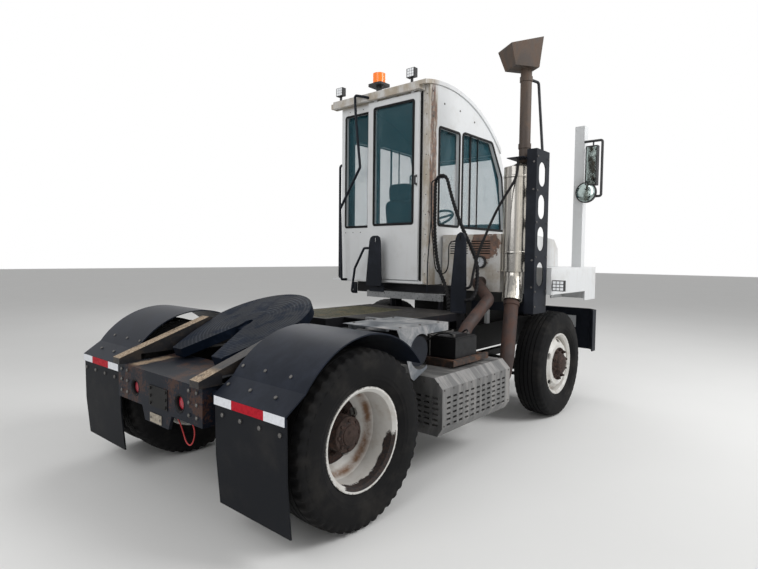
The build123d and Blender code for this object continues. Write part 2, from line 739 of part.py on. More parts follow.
# Cab shell: each wall is one panel as thick as the whole wall
def cab_side_outline(radius):
    """The side wall under the roof's arc, in x and z."""
    roof_rear_z = roof_centre_z + math.sqrt(radius**2 - (cab_rear_x - roof_centre_x) ** 2)
    front_z = roof_centre_z + math.sqrt(radius**2 - (roof_front_x - roof_centre_x) ** 2)
    with BuildLine() as outline:
        Line((cab_rear_x, cab_bottom_z + cab_floor_thickness), (cab_rear_x, roof_rear_z))
        ThreePointArc((cab_rear_x, roof_rear_z), (roof_centre_x + 300, roof_centre_z
                      + math.sqrt(radius**2 - 300**2)), (roof_front_x, front_z))
        ThreePointArc((roof_front_x, front_z), (windshield_mid_x, windshield_mid_z),
                      (cab_front_x, windshield_foot_z))
        Polyline((cab_front_x, windshield_foot_z), (cab_front_x, cab_bottom_z + cab_floor_thickness),
                 (cab_rear_x, cab_bottom_z + cab_floor_thickness))
    make_face(outline.edges())


roof_under = roof_radius - roof_sheet - seat_gap
window_sill_z = 1902
rear_side_window = (612, 1000, window_sill_z, 2900)
front_windows = {
    "cab_left_wall": ((1062, window_sill_z), (2030, window_sill_z), (1745, 2910), (1062, 2930)),
    "cab_right_wall": (
        (1062, window_sill_z), (2062, window_sill_z), (1962, 2545), (1706, 2922), (1062, 2922),
    ),
}
for name, low_y in (("cab_left_wall", cab_left_y - cab_wall), ("cab_right_wall", cab_right_y)):
    with BuildPart() as wall:
        with BuildSketch(Plane.XZ.offset(-(low_y + cab_wall))):
            cab_side_outline(roof_under)
            rear_x, front_x, low_z, high_z = rear_side_window
            with Locations(((rear_x + front_x) / 2, (low_z + high_z) / 2)):
                RectangleRounded(front_x - rear_x, high_z - low_z, 30, mode=Mode.SUBTRACT)
            with BuildLine():
                FilletPolyline(*front_windows[name], radius=40, close=True)
            make_face(mode=Mode.SUBTRACT)
        extrude(amount=cab_wall)
    save(wall, name)

with BuildPart() as cab_roof:
    with BuildSketch(Plane.XZ.offset(-roof_left_y)):
        with BuildLine():
            outer = roof_radius
            inner = roof_radius - roof_sheet

            def roof_point(radius, x):
                return (x, roof_centre_z + math.sqrt(radius**2 - (x - roof_centre_x) ** 2))

            top = ThreePointArc(roof_point(outer, roof_rear_x), roof_point(outer, 1100),
                                roof_point(outer, roof_front_x))
            Line(top @ 1, roof_point(inner, roof_front_x))
            under_arc = ThreePointArc(roof_point(inner, roof_front_x), roof_point(inner, 1100),
                                      roof_point(inner, roof_rear_x))
            Line(under_arc @ 1, top @ 0)
        make_face()
    extrude(amount=roof_left_y - roof_right_y)
    block(roof_rear_x, cab_rear_x - 4, door_right_y - 40, mirror_reach_y - 120, 3236, 3290)
    block(cab_rear_x - 56, cab_rear_x - 14, door_right_y - 30, mirror_reach_y - 130, 3236, 3270,
          mode=Mode.SUBTRACT)
save(cab_roof, "cab_roof")

with BuildPart() as cab_floor:
    block(cab_rear_x, cab_front_x, cab_right_y, cab_left_y, cab_bottom_z, cab_bottom_z + cab_floor_thickness)
    block(cab_rear_x - 60, cab_rear_x, cab_right_y + 20, mirror_reach_y - 120, 1300, 1306)
    block(cab_rear_x - 60, cab_rear_x - 54, cab_right_y + 20, mirror_reach_y - 120, 1306, 1322)
    for y in (40, 1000):
        side_profile(
            (
                (cab_pivot_x - 70, cab_bottom_z), (cab_pivot_x - 34, cab_pivot_z - 30),
                (cab_pivot_x + 34, cab_pivot_z - 30), (cab_pivot_x + 50, cab_bottom_z),
            ),
            y, y + 24,
        )
    bar((cab_pivot_x, 30, cab_pivot_z), (cab_pivot_x, 1040, cab_pivot_z), cab_pivot_radius + running_gap,
        mode=Mode.SUBTRACT)
save(cab_floor, "cab_floor")

# Rear wall with the door opening and the fixed window, and the door's lower track
inner_right_y = cab_right_y + cab_wall
inner_left_y = cab_left_y - cab_wall
rear_window = (728, 1078, window_sill_z, 3140)
with BuildPart() as cab_rear_wall:
    with BuildSketch(Plane.YZ.offset(cab_rear_x)):
        with BuildLine():
            Polyline((inner_right_y, cab_bottom_z + cab_floor_thickness), (inner_left_y, cab_bottom_z
                     + cab_floor_thickness), (inner_left_y, 3286), (inner_right_y, 3286), close=True)
        make_face()
        with Locations((370, 2285)):
            RectangleRounded(560, 1830, 30, mode=Mode.SUBTRACT)
        with Locations(((rear_window[0] + rear_window[1]) / 2, (rear_window[2] + rear_window[3]) / 2)):
            RectangleRounded(rear_window[1] - rear_window[0], rear_window[3] - rear_window[2], 24,
                             mode=Mode.SUBTRACT)
    extrude(amount=cab_wall)
save(cab_rear_wall, "cab_rear_wall")

# Windshield frame and nose panel
with BuildPart() as cab_front:
    with BuildSketch(Plane.XZ.offset(-inner_left_y)):
        front_z = roof_centre_z + math.sqrt(roof_under**2 - (roof_front_x - roof_centre_x) ** 2)
        with BuildLine():
            ThreePointArc((roof_front_x, front_z), (windshield_mid_x, windshield_mid_z),
                          (cab_front_x, windshield_foot_z))
            Polyline((cab_front_x, windshield_foot_z), (cab_front_x, cab_bottom_z + cab_floor_thickness),
                     (cab_front_x - cab_wall, cab_bottom_z + cab_floor_thickness),
                     (cab_front_x - cab_wall, windshield_foot_z - 6))
            ThreePointArc((cab_front_x - cab_wall, windshield_foot_z - 6),
                          (windshield_mid_x - cab_wall + 1, windshield_mid_z - 12),
                          (roof_front_x - 40, front_z - 18))
            Line((roof_front_x - 40, front_z - 18), (roof_front_x, front_z))
        make_face()
    extrude(amount=inner_left_y - inner_right_y)
    block(roof_front_x - 100, cab_front_x + 60, inner_right_y + 70, inner_left_y - 70, 1990, 2790,
          mode=Mode.SUBTRACT)
save(cab_front, "cab_front")

# Fixed panes, each set against the inside of its wall
with BuildPart() as cab_glass:
    for name, y in (("cab_left_wall", inner_left_y - glass_thickness), ("cab_right_wall", inner_right_y)):
        block(rear_side_window[0] - glass_lap, rear_side_window[1] + glass_lap, y, y + glass_thickness,
              rear_side_window[2] - glass_lap, rear_side_window[3] + glass_lap)
        with BuildSketch(Plane.XZ.offset(-(y + glass_thickness))):
            with BuildLine():
                Polyline(*front_windows[name], close=True)
            make_face()
            offset(amount=glass_lap, kind=Kind.INTERSECTION)
        extrude(amount=glass_thickness)
    block(cab_rear_x + cab_wall, cab_rear_x + cab_wall + glass_thickness,
          rear_window[0] - glass_lap, rear_window[1] + glass_lap,
          rear_window[2] - glass_lap, rear_window[3] + glass_lap)
    with BuildSketch(Plane.XZ.offset(-(inner_left_y - 70 - seat_gap))):
        with BuildLine():
            ThreePointArc((roof_front_x - 20, 2885), (windshield_mid_x - 22, windshield_mid_z - 6),
                          (cab_front_x - 22, windshield_foot_z - 4))
            Line((cab_front_x - 22, windshield_foot_z - 4), (cab_front_x - 30, windshield_foot_z - 4))
            ThreePointArc((cab_front_x - 30, windshield_foot_z - 4),
                          (windshield_mid_x - 30, windshield_mid_z - 8), (roof_front_x - 28, 2881))
            Line((roof_front_x - 28, 2881), (roof_front_x - 20, 2885))
        make_face()
    extrude(amount=inner_left_y - inner_right_y - 140 - 2 * seat_gap)
    block(roof_front_x - 100, cab_front_x + 60, inner_right_y, inner_left_y, 2790 - seat_gap, 2990,
          mode=Mode.SUBTRACT)
    block(roof_front_x + 100, cab_front_x + 60, inner_right_y, inner_left_y, 1800, 1990 + seat_gap,
          mode=Mode.SUBTRACT)
save(cab_glass, "cab_glass")

# Sliding door hung in the roof's track
door_rear_x = cab_rear_x - door_gap - door_thickness
door_window = (86, 612, 1912, 3150)
with BuildPart() as rear_door:
    with BuildSketch(Plane.YZ.offset(door_rear_x)):
        with Locations(((door_right_y + door_left_y) / 2, (door_bottom_z + door_top_z) / 2)):
            Rectangle(door_left_y - door_right_y, door_top_z - door_bottom_z)
        with Locations(((door_window[0] + door_window[1]) / 2, (door_window[2] + door_window[3]) / 2)):
            RectangleRounded(door_window[1] - door_window[0], door_window[3] - door_window[2], 20,
                             mode=Mode.SUBTRACT)
    extrude(amount=door_thickness)
    for y in (door_right_y + 90, door_left_y - 90):
        block(door_rear_x + 8, door_rear_x + 28, y - 20, y + 20, door_top_z, 3270 - seat_gap)
    block(door_rear_x - 26, door_rear_x, 38, 50, 2285, 2405)
save(rear_door, "rear_door")

with BuildPart() as door_glass:
    block(door_rear_x + 14, door_rear_x + 14 + glass_thickness, door_window[0] + seat_gap,
          door_window[1] - seat_gap, door_window[2] + seat_gap, door_window[3] - seat_gap)
    with BuildSketch(Plane.YZ.offset(door_rear_x)):
        with Locations(((door_window[0] + door_window[1]) / 2, (door_window[2] + door_window[3]) / 2)):
            RectangleRounded(door_window[1] - door_window[0] - 2 * seat_gap,
                             door_window[3] - door_window[2] - 2 * seat_gap, 20)
    extrude(amount=door_thickness, mode=Mode.INTERSECT)
save(door_glass, "door_glass")

# Driver's seat on its pedestal, dashboard and steering column
seat_x = 1180
seat_y = 660
floor_z = cab_bottom_z + cab_floor_thickness
with BuildPart() as seat:
    block(seat_x - 150, seat_x + 150, seat_y - 150, seat_y + 150, floor_z, 1700)
    block(seat_x - 250, seat_x + 260, seat_y - 250, seat_y + 250, 1700, 1830)
    side_profile(
        (
            (seat_x - 250, 1830), (seat_x - 110, 1830), (seat_x - 190, 2420), (seat_x - 310, 2420),
        ),
        seat_y - 235, seat_y + 235,
    )
save(seat, "seat")

wheel_centre = Vector(1660, seat_y, 2060)
column_foot = Vector(1990, seat_y, 1540)
column_run = (wheel_centre - column_foot).normalized()
with BuildPart() as dashboard:
    side_profile(
        (
            (1860, floor_z), (cab_front_x - cab_wall, floor_z), (cab_front_x - cab_wall, 1890),
            (2040, 1905), (1900, 1820), (1930, 1500),
        ),
        inner_right_y + 20, inner_left_y - 20,
    )
    bar(tuple(column_foot), tuple(wheel_centre - column_run * 40), 38)
save(dashboard, "dashboard")

with BuildPart() as steering_wheel:
    wheel_plane = Plane(origin=tuple(wheel_centre), x_dir=(0, 1, 0), z_dir=tuple(column_run))
    with BuildSketch(Plane(origin=tuple(wheel_centre), x_dir=(0, 1, 0), z_dir=wheel_plane.y_dir)):
        with Locations((215, 0)):
            Circle(15)
    revolve(axis=Axis(tuple(wheel_centre), tuple(column_run)))
    with BuildSketch(wheel_plane.offset(-14)):
        Circle(48)
        for angle in (90, 210, 330):
            with Locations(Location((0, 0, 0), (0, 0, angle))):
                with Locations((110, 0)):
                    Rectangle(200, 26)
    extrude(amount=20)
    bar(tuple(wheel_centre - column_run * (40 - seat_gap)), tuple(wheel_centre), 30)
save(steering_wheel, "steering_wheel")

# Lamps and beacon on the roof's rear edge
with BuildPart() as roof_lamps:
    for y in (130, 1140):
        block(390, 440, y - 50, y + 50, 3385, 3475)
        block(405, 425, y - 10, y + 10, roof_point(roof_radius, 425)[1] + seat_gap, 3385)
    with BuildSketch(Plane.XY.offset(3395)):
        with Locations((450, 600)):
            RectangleRounded(170, 190, 30)
    extrude(amount=24)
    bar((450, 600, roof_point(roof_radius, 480)[1] + seat_gap), (450, 600, 3395), 30)
    bar((450, 600, 3419), (450, 600, 3430), 56)
    bar((450, 600, 3430), (450, 600, 3530), 68)
save(roof_lamps, "roof_lamps")

# Handrails fixed to the cab: one across the rear, one on its left corner ahead of the sliding door's path
corner_rail_x = cab_rear_x + 30
with BuildPart() as cab_handrails:
    bent_bar(
        ((roof_rear_x, 655, 3263), (300, 655, 3263), (300, 815, 3310), (300, 800, 3100), (300, 730, 2530),
         (300, 1028, 2100), (300, 1000, 1311), (cab_rear_x - 60, 1000, 1311)),
        20, 14,
    )
    bent_bar(
        ((corner_rail_x, cab_left_y + seat_gap, 2620), (corner_rail_x, 1200, 2620), (corner_rail_x, 1200, 1320),
         (corner_rail_x, cab_left_y + seat_gap, 1320)),
        30, 14,
    )
save(cab_handrails, "cab_handrails")

# Hood over the engine, with louvres in its rear face
with BuildPart() as hood:
    side_profile(
        (
            (hood_rear_x, hood_bottom_z), (hood_rear_x, hood_top_z - 15), (1500, hood_top_z),
            (1960, hood_top_z - 30), (2070, hood_top_z - 130), (hood_front_x, hood_bottom_z),
        ),
        hood_right_y, hood_left_y,
    )
    side_profile(
        (
            (hood_rear_x + hood_sheet, hood_bottom_z - 10), (hood_rear_x + hood_sheet, hood_top_z - 15 - hood_sheet),
            (1500, hood_top_z - hood_sheet), (1954, hood_top_z - 30 - hood_sheet),
            (2058, hood_top_z - 135), (hood_front_x - hood_sheet, hood_bottom_z - 10),
        ),
        hood_right_y + hood_sheet, hood_left_y - hood_sheet, mode=Mode.SUBTRACT,
    )
    for row in range(6):
        z = 1606 + row * 24
        for low_y, high_y in ((-650, -440), (-400, -190)):
            block(hood_rear_x - 10, hood_rear_x + hood_sheet + 5, low_y, high_y, z, z + 11, mode=Mode.SUBTRACT)
save(hood, "hood")

# White platform over the right front wheel, with the mirror's post
post_x = 1800
post_y = -1095
with BuildPart() as front_platform:
    side_profile(
        (
            (platform_rear_x, platform_bottom_z), (1880, platform_bottom_z), (1880, platform_bottom_z - 100),
            (platform_front_x, platform_bottom_z - 100), (platform_front_x, platform_top_z),
            (platform_rear_x, platform_top_z),
        ),
        platform_outer_y, hood_right_y - 2,
    )
    side_profile(
        (
            (platform_rear_x + platform_sheet, platform_bottom_z - 120),
            (platform_front_x - platform_sheet, platform_bottom_z - 120),
            (platform_front_x - platform_sheet, platform_top_z - platform_sheet),
            (platform_rear_x + platform_sheet, platform_top_z - platform_sheet),
        ),
        platform_outer_y + platform_sheet, hood_right_y - 2 - platform_sheet, mode=Mode.SUBTRACT,
    )
    block(post_x - 50, post_x + 50, post_y - 50, post_y + 50, platform_top_z, 2970)
    for x in (1040, 1700):
        block(x, x + 60, hood_right_y - 4, -400, hood_bottom_z - 18, hood_bottom_z - 4)
        block(x, x + 60, -430, -400, rail_top_z, hood_bottom_z - 4)
save(front_platform, "front_platform")

# Exhaust: stack with its tapered cap, muffler with its elbow, and the pipes below
cap_frame = Plane(
    origin=(stack_x, stack_y, 0),
    x_dir=(math.cos(math.radians(cap_turn)), math.sin(math.radians(cap_turn)), 0), z_dir=(0, 0, 1),
)


def cap_wall(inset, mode=Mode.ADD):
    """The flared cap between a level foot and a sloping mouth, drawn in by an inset."""
    foot = cap_frame.offset(cap_bottom_z + inset)
    mouth = Plane(
        origin=tuple(cap_frame.from_local_coords(Vector(-67, 0, cap_top_z - 45))),
        x_dir=tuple(cap_frame.x_dir * 325 + Vector(0, 0, 90)),
        z_dir=tuple(Vector(0, 0, 325) - cap_frame.x_dir * 90),
    )
    with BuildSketch(foot) as low:
        with Locations((-46, 0)):
            Rectangle(242 - 2 * inset, 200 - 2 * inset)
    with BuildSketch(mouth) as high:
        Rectangle(337 - 2 * inset, 260 - 2 * inset)
    loft([low.sketch, high.sketch], mode=mode)


with BuildPart() as exhaust_stack:
    cap_wall(0)
    cap_wall(5, mode=Mode.SUBTRACT)
    bar((stack_x, stack_y, stack_bottom_z - 90), (stack_x, stack_y, cap_bottom_z + 14), stack_radius)
    for z in (stack_bottom_z + 40, strut_top_z - 20):
        bar((stack_x, stack_y, z), (stack_x, stack_y, z + 44), stack_radius + 7)
    bent_bar(
        ((stack_x + 40, stack_y - 24, strut_top_z + 6), (stack_x + 118, stack_y - 70, strut_top_z - 10),
         (guard_front_x - 4, guard_outer_y + 70, guard_top_z + 1 + seat_gap)),
        25, 13,
    )
save(exhaust_stack, "exhaust_stack")

elbow_top = Vector(715, -885, 1376)
pipe_low = Vector(395, -1000, 700)
pipe_joint = elbow_top + (pipe_low - elbow_top) * 0.31
with BuildPart() as muffler:
    bar((muffler_x, muffler_y, muffler_bottom_z), (muffler_x, muffler_y, muffler_top_z), muffler_radius)
    with BuildSketch(Plane.XY.offset(muffler_top_z)):
        with Locations((muffler_x, muffler_y)):
            Circle(muffler_radius - 6)
    with BuildSketch(Plane.XY.offset(stack_bottom_z - 90 - seat_gap)):
        with Locations((stack_x, stack_y)):
            Circle(stack_radius)
    loft()
    bar((muffler_x, muffler_y, muffler_bottom_z - 8), (muffler_x, muffler_y, muffler_bottom_z + 16),
        muffler_radius + 5)
    bent_bar(
        ((muffler_x, muffler_y, muffler_bottom_z), elbow_top, pipe_joint), 110, elbow_radius,
    )
save(muffler, "muffler")

with BuildPart() as exhaust_pipes:
    bent_bar(
        (pipe_joint, pipe_low, (330, -1000, 500), (box_front_x, -1000, 500)),
        90, lower_pipe_radius,
    )
    pipe_way = (pipe_low - pipe_joint).normalized()
    bar(pipe_joint + pipe_way * 10, pipe_joint + pipe_way * 46, lower_pipe_radius + 9)
    bent_bar(
        ((hood_rear_x - seat_gap, -560, 1330), (590, -560, 1330), (450, -770, 1180), (80, -770, 964),
         (0, -770, 880), (0, -770, box_top_z)), 60, 55,
    )
save(exhaust_pipes, "exhaust_pipes")

# Guard channel beside the muffler, pierced by tall oval holes
with BuildPart() as guard_channel:
    block(guard_rear_x, guard_front_x, guard_outer_y, guard_outer_y + guard_sheet, guard_bottom_z, guard_top_z)
    block(guard_rear_x, guard_rear_x + guard_sheet, guard_outer_y, guard_outer_y + guard_flange,
          guard_bottom_z, guard_top_z)
    block(guard_front_x - guard_sheet, guard_front_x, guard_outer_y, guard_outer_y + guard_lip,
          guard_bottom_z, guard_top_z)
    with BuildSketch(Plane.XZ.offset(-(guard_outer_y + guard_sheet))):
        for z in (1420, 1750, 2046, 2346):
            with Locations(((guard_rear_x + guard_front_x) / 2 - 14, z)):
                SlotOverall(224, 144, rotation=90)
    extrude(amount=guard_sheet, mode=Mode.SUBTRACT)
    block(guard_rear_x, guard_front_x, guard_outer_y, guard_outer_y + guard_flange,
          guard_top_z - guard_sheet, guard_top_z)
    block(600, guard_front_x - 20, guard_outer_y + guard_flange, -846, 2490, 2498)
    block(guard_rear_x, guard_front_x - 20, guard_outer_y + guard_sheet, guard_outer_y + guard_flange, 2490, 2498)
    bar((stack_x, stack_y, 2400), (stack_x, stack_y, 2600), stack_radius + seat_gap, mode=Mode.SUBTRACT)
    block(guard_rear_x + 40, guard_rear_x + 52, guard_outer_y + guard_sheet, -rail_outer_y, 1060, 1140)
    block(guard_rear_x + 40, guard_rear_x + 52, -442, -rail_outer_y, 760, 1140)
    block(guard_rear_x + 20, guard_rear_x + 90, -442, -430, 760, 860)
save(guard_channel, "guard_channel")

# Aftertreatment box: a folded sheet casing with slots in its outer and rear faces
slot_columns = 11
slot_rows = 6
with BuildPart() as aftertreatment_box:
    with BuildSketch(Plane.YZ.offset(box_rear_x)):
        with BuildLine():
            Polyline(
                (box_inner_y, box_bottom_z), (box_outer_y + 40, box_bottom_z), (box_outer_y, box_bottom_z + 60),
                (box_outer_y, box_top_z - box_chamfer), (box_outer_y + box_chamfer, box_top_z),
                (box_inner_y, box_top_z), close=True,
            )
        make_face()
    extrude(amount=box_front_x - box_rear_x)
    with BuildSketch(Plane.XZ.offset(-box_outer_y - box_sheet)):
        for column in range(slot_columns):
            for row in range(slot_rows):
                x = box_rear_x + 80 + column * (box_front_x - box_rear_x - 190) / (slot_columns - 1)
                with Locations((x, box_bottom_z + 78 + row * 38)):
                    Rectangle(48, 15)
    extrude(amount=20, both=True, mode=Mode.SUBTRACT)
    with BuildSketch(Plane.YZ.offset(box_rear_x + box_sheet)):
        for column in range(6):
            for row in range(slot_rows):
                with Locations((box_outer_y + 60 + column * 72, box_bottom_z + 78 + row * 38)):
                    Rectangle(48, 15)
    extrude(amount=20, both=True, mode=Mode.SUBTRACT)
    for x in (box_rear_x + 200, box_front_x - 200):
        block(x, x + 60, box_inner_y, -rail_outer_y, 640, 700)
save(aftertreatment_box, "aftertreatment_box")

# Battery on its tray above the box
battery_rear_x = -548
battery_front_x = -240
battery_outer_y = -1050
battery_inner_y = -790
battery_bottom_z = 800
battery_top_z = 963
with BuildPart() as battery_tray:
    for y in (battery_outer_y - 30, battery_inner_y):
        block(battery_rear_x - 70, battery_front_x + 140, y, y + 30, battery_bottom_z - 6, battery_bottom_z)
        block(battery_rear_x - 70, battery_front_x + 140, y, y + 5, battery_bottom_z - 45, battery_bottom_z)
    for x in (battery_rear_x - 40, -400, battery_front_x + 90):
        block(x, x + 40, battery_outer_y - 30, battery_inner_y + 30, battery_bottom_z - 45, battery_bottom_z - 6)
        block(x, x + 40, battery_outer_y + 20, battery_inner_y - 20, box_top_z, battery_bottom_z - 45)
save(battery_tray, "battery_tray")

with BuildPart() as battery:
    block(battery_rear_x, battery_front_x, battery_outer_y, battery_inner_y, battery_bottom_z, battery_top_z - 16)
    block(battery_rear_x + 6, battery_front_x - 6, battery_outer_y + 6, battery_inner_y - 6,
          battery_top_z - 16, battery_top_z - 4)
    for x in (battery_rear_x + 50, battery_front_x - 50):
        bar((x, battery_outer_y + 50, battery_top_z - 4), (x, battery_outer_y + 50, battery_top_z + 12), 10)
save(battery, "battery")

# Aluminium cover ahead of the right fender, with its round cut-out
cover_top_z = 1100
cover_front_x = -700
cover_outer_y = -1080
cover_inner_y = -594
with BuildPart() as side_cover:
    block(-1296, cover_front_x, cover_outer_y, cover_inner_y, cover_top_z - 4, cover_top_z)
    block(cover_front_x - 4, cover_front_x, cover_outer_y, cover_inner_y, cover_top_z - 50, cover_top_z)
    with BuildSketch(Plane.XZ.offset(-(cover_outer_y + 4))):
        with BuildLine():
            Polyline(
                (-1296, cover_top_z), (cover_front_x, cover_top_z), (cover_front_x, cover_top_z - 60),
                (-960, cover_top_z - 60), (-960, 800), (-1110, box_top_z + 1), (-1110, 740),
                (-1140, 760), (-1186, 880), (-1236, 990), close=True,
            )
        make_face()
        with Locations((-1030, 925)):
            Circle(122, mode=Mode.SUBTRACT)
    extrude(amount=4)
    block(-1240, cover_front_x - 40, -634, -594, cover_top_z - 44, cover_top_z - 4)
    block(-880, -840, -594, -rail_outer_y, 800, cover_top_z - 4)
    block(-880, -840, -640, -594, 1000, cover_top_z - 4)
save(side_cover, "side_cover")

# Air tank under the cover and fuel tank on the left, held by straps
with BuildPart() as tanks:
    bar((-1030, -1060, 925), (-1030, -500, 925), 104)
    bar((-1030, -520, 925), (-1030, -460, 925), 60)
    bar((-700, 760, 700), (240, 760, 700), 290)
    for x in (-520, 60):
        block(x, x + 60, rail_outer_y, 500, 640, 860)
        bar((x, 760, 700), (x + 60, 760, 700), 294)
    bar((-60, 820, 980), (-60, 820, 1010), 44)
    block(-1040, -1000, -rail_outer_y - 30, -rail_outer_y, 800, 960)
save(tanks, "tanks")

# Engine as one plain block between the rails, and the radiator ahead of it
with BuildPart() as engine_block:
    block(780, 1850, -330, 330, 660, 1220)
    for x in (900, 1640):
        block(x, x + 90, -rail_inner_y, rail_inner_y, 700, 760)
save(engine_block, "engine_block")

with BuildPart() as radiator:
    block(2206, 2262, -425, 425, rail_top_z, 1170)
    for count in range(14):
        y = -390 + count * 57
        block(2262, 2274, y, y + 36, rail_top_z + 30, 1140)
save(radiator, "radiator")

# Black front bumper with chamfered ends
with BuildPart() as front_bumper:
    with BuildSketch(Plane.XY.offset(bumper_bottom_z)):
        with BuildLine():
            Polyline(
                (bumper_rear_x - 160, -bumper_half_width), (bumper_front_x - 110, -bumper_half_width),
                (bumper_front_x, -bumper_half_width + 110), (bumper_front_x, bumper_half_width - 110),
                (bumper_front_x - 110, bumper_half_width), (bumper_rear_x - 160, bumper_half_width),
                (bumper_rear_x - 160, bumper_half_width - 12), (bumper_front_x - 118, bumper_half_width - 12),
                (bumper_rear_x, bumper_half_width - 96), (bumper_rear_x, -bumper_half_width + 96),
                (bumper_front_x - 118, -bumper_half_width + 12), (bumper_rear_x - 160, -bumper_half_width + 12),
                close=True,
            )
        make_face()
    extrude(amount=bumper_top_z - bumper_bottom_z)
    for side in (-1, 1):
        block(bumper_rear_x - 20, bumper_front_x + 20, side * 900, side * 720, 760, 900, mode=Mode.SUBTRACT)
save(front_bumper, "front_bumper")

# Head lamps in the bumper and red tail lamps sunk in the holes of the tail plate
with BuildPart() as lamps:
    for side in (-1, 1):
        block(bumper_rear_x + 2, bumper_front_x - 12, side * (900 - seat_gap), side * (720 + seat_gap),
              760 + seat_gap, 900 - seat_gap)
        with BuildSketch(Plane.YZ.offset(rail_rear_x)):
            with Locations((side * lamp_y, lamp_z)):
                Circle(lamp_hole_radius + 12)
        extrude(amount=45)
        with BuildSketch(Plane.YZ.offset(rail_rear_x)):
            with Locations((side * lamp_y, lamp_z)):
                Circle(lamp_hole_radius - 4)
        extrude(amount=20, mode=Mode.SUBTRACT)
save(lamps, "lamps")


# Mirrors: a tube frame, a tall glass and a round wide-angle glass on each side
def mirror(side, root_y, root_x, frame_x, top_z, round_y, round_radius):
    """Arms from two roots on a post or pillar, and the two mirror heads."""
    base_z = 2225
    out_y = side * (mirror_reach_y - 13)
    near_y = root_y + side * 30
    bent_bar(
        ((root_x, root_y, top_z), (root_x, near_y, top_z), (frame_x, out_y, top_z), (frame_x, out_y, base_z),
         (root_x, near_y, base_z), (root_x, root_y, base_z)),
        20, 13,
    )
    block(frame_x - 52, frame_x + 8, side * 1175, side * 1295, 2335, top_z - 55)
    bar((frame_x - 48, side * round_y, 2265), (frame_x - 22, side * round_y, 2265), round_radius)
    bar((frame_x, side * 1235, top_z - 100), (frame_x, side * 1235, top_z), 8)
    bar((frame_x, side * 1235, base_z), (frame_x, side * 1235, 2340), 8)
    block(frame_x - 30, frame_x, side * 1228, side * 1242, base_z - 13, base_z + 13)


with BuildPart() as mirror_right:
    mirror(-1, post_y - 50, post_x - 40, post_x - 36, 2800, 1185, 108)
save(mirror_right, "mirror_right")

with BuildPart() as mirror_left:
    mirror(1, cab_left_y, 1972, 1976, 2700, 1242, 92)
save(mirror_left, "mirror_left")

# Hose stands: the slotted stand with its hand loop, and the post that carries the air lines
with BuildPart() as hose_stands:
    with BuildSketch(Plane.YZ.offset(270)):
        with BuildLine():
            Polyline((390, 1270), (608, 1270), (560, 1730), (546, 1770), (512, 1790), (450, 1790),
                     (420, 1770), (410, 1730), close=True)
        make_face()
        with Locations((482, 1745)):
            SlotOverall(50, 18, rotation=90, mode=Mode.SUBTRACT)
    extrude(amount=14)
    block(270, 330, 400, 600, 1262, 1270)
    block(322, 330, 400, 600, step_z, 1270)
    bent_bar(((277, 560, 1660), (277, 640, 1660), (277, 775, 1440), (277, 820, 1180), (340, 820, 1180)), 30, 13)
    block(330, 345, 795, 845, 1165, 1289)
    with BuildSketch(Plane.YZ.offset(215)):
        with BuildLine():
            Polyline((-655, deck_top_z), (-505, deck_top_z), (-505, 1300), (-548, 1740), (-566, 1780),
                     (-596, 1800), (-628, 1790), (-646, 1750), (-655, 1330), close=True)
        make_face()
        with Locations((-598, 1745)):
            SlotOverall(54, 18, rotation=90, mode=Mode.SUBTRACT)
    extrude(amount=30)
    block(200, 260, -640, -520, deck_top_z, deck_top_z + 12)
    bent_bar(
        ((392, -112, step_z + 8), (392, -112, 1500), (450, -108, 1950), (452, -108, 2320), (455, -170, 2352),
         (455, -262, 2352)),
        25, 6,
    )
save(hose_stands, "hose_stands")


# Air hoses: a loop that stands up beside the cab, and a line down from the guard
def hose(points, radius):
    """A hose along straight runs, with arcs as large as its runs allow; prints the arcs' radii."""
    corners = [Vector(*spot) for spot in points]
    radii = []
    for before, corner, after in zip(corners, corners[1:], corners[2:]):
        turn = (corner - before).get_angle(after - corner)
        shorter = min((corner - before).length, (after - corner).length)
        radii.append(0.45 * shorter / math.tan(math.radians(turn) / 2))
    print("hose radii", [round(value) for value in radii])
    with BuildLine() as path:
        FilletPolyline(*points, radius=radii)
    with BuildSketch(Plane(origin=path.line @ 0, z_dir=path.line % 0)) as section:
        Circle(radius)
    sweep(section.sketch, path=path.line)


loop_route = (
    (300, -430, deck_top_z), (300, -430, 1165), (335, -372, 1290), (382, -248, 1460), (424, -180, 1690),
    (458, -145, 1930), (474, -138, 2120), (479, -134, 2250), (481, -136, 2339), (482, -177, 2380),
    (482, -235, 2380), (480, -276, 2339), (476, -304, 2240), (458, -385, 2040), (430, -495, 1830),
    (402, -615, 1650), (384, -680, 1520), (350, -706, 1390), (310, -722, 1285), (266, -722, 1212),
    (230, -700, 1180), (230, -655, 1180),
)
line_route = (
    (612, -955, 2490), (612, -955, 2405), (585, -946, 2285), (510, -893, 2150), (424, -835, 1980),
    (352, -787, 1790), (294, -742, 1620), (262, -718, 1460), (240, -712, 1350), (228, -700, 1290),
    (228, -655, 1290),
)
loop_radius = 15
line_radius = 12
with BuildPart() as hose_loop:
    hose(loop_route, loop_radius)
save(hose_loop, "hose_loop")

with BuildPart() as hose_line:
    hose(line_route, line_radius)
save(hose_line, "hose_line")
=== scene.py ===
import bpy
import math
import numpy as np
from mathutils import Matrix, Vector


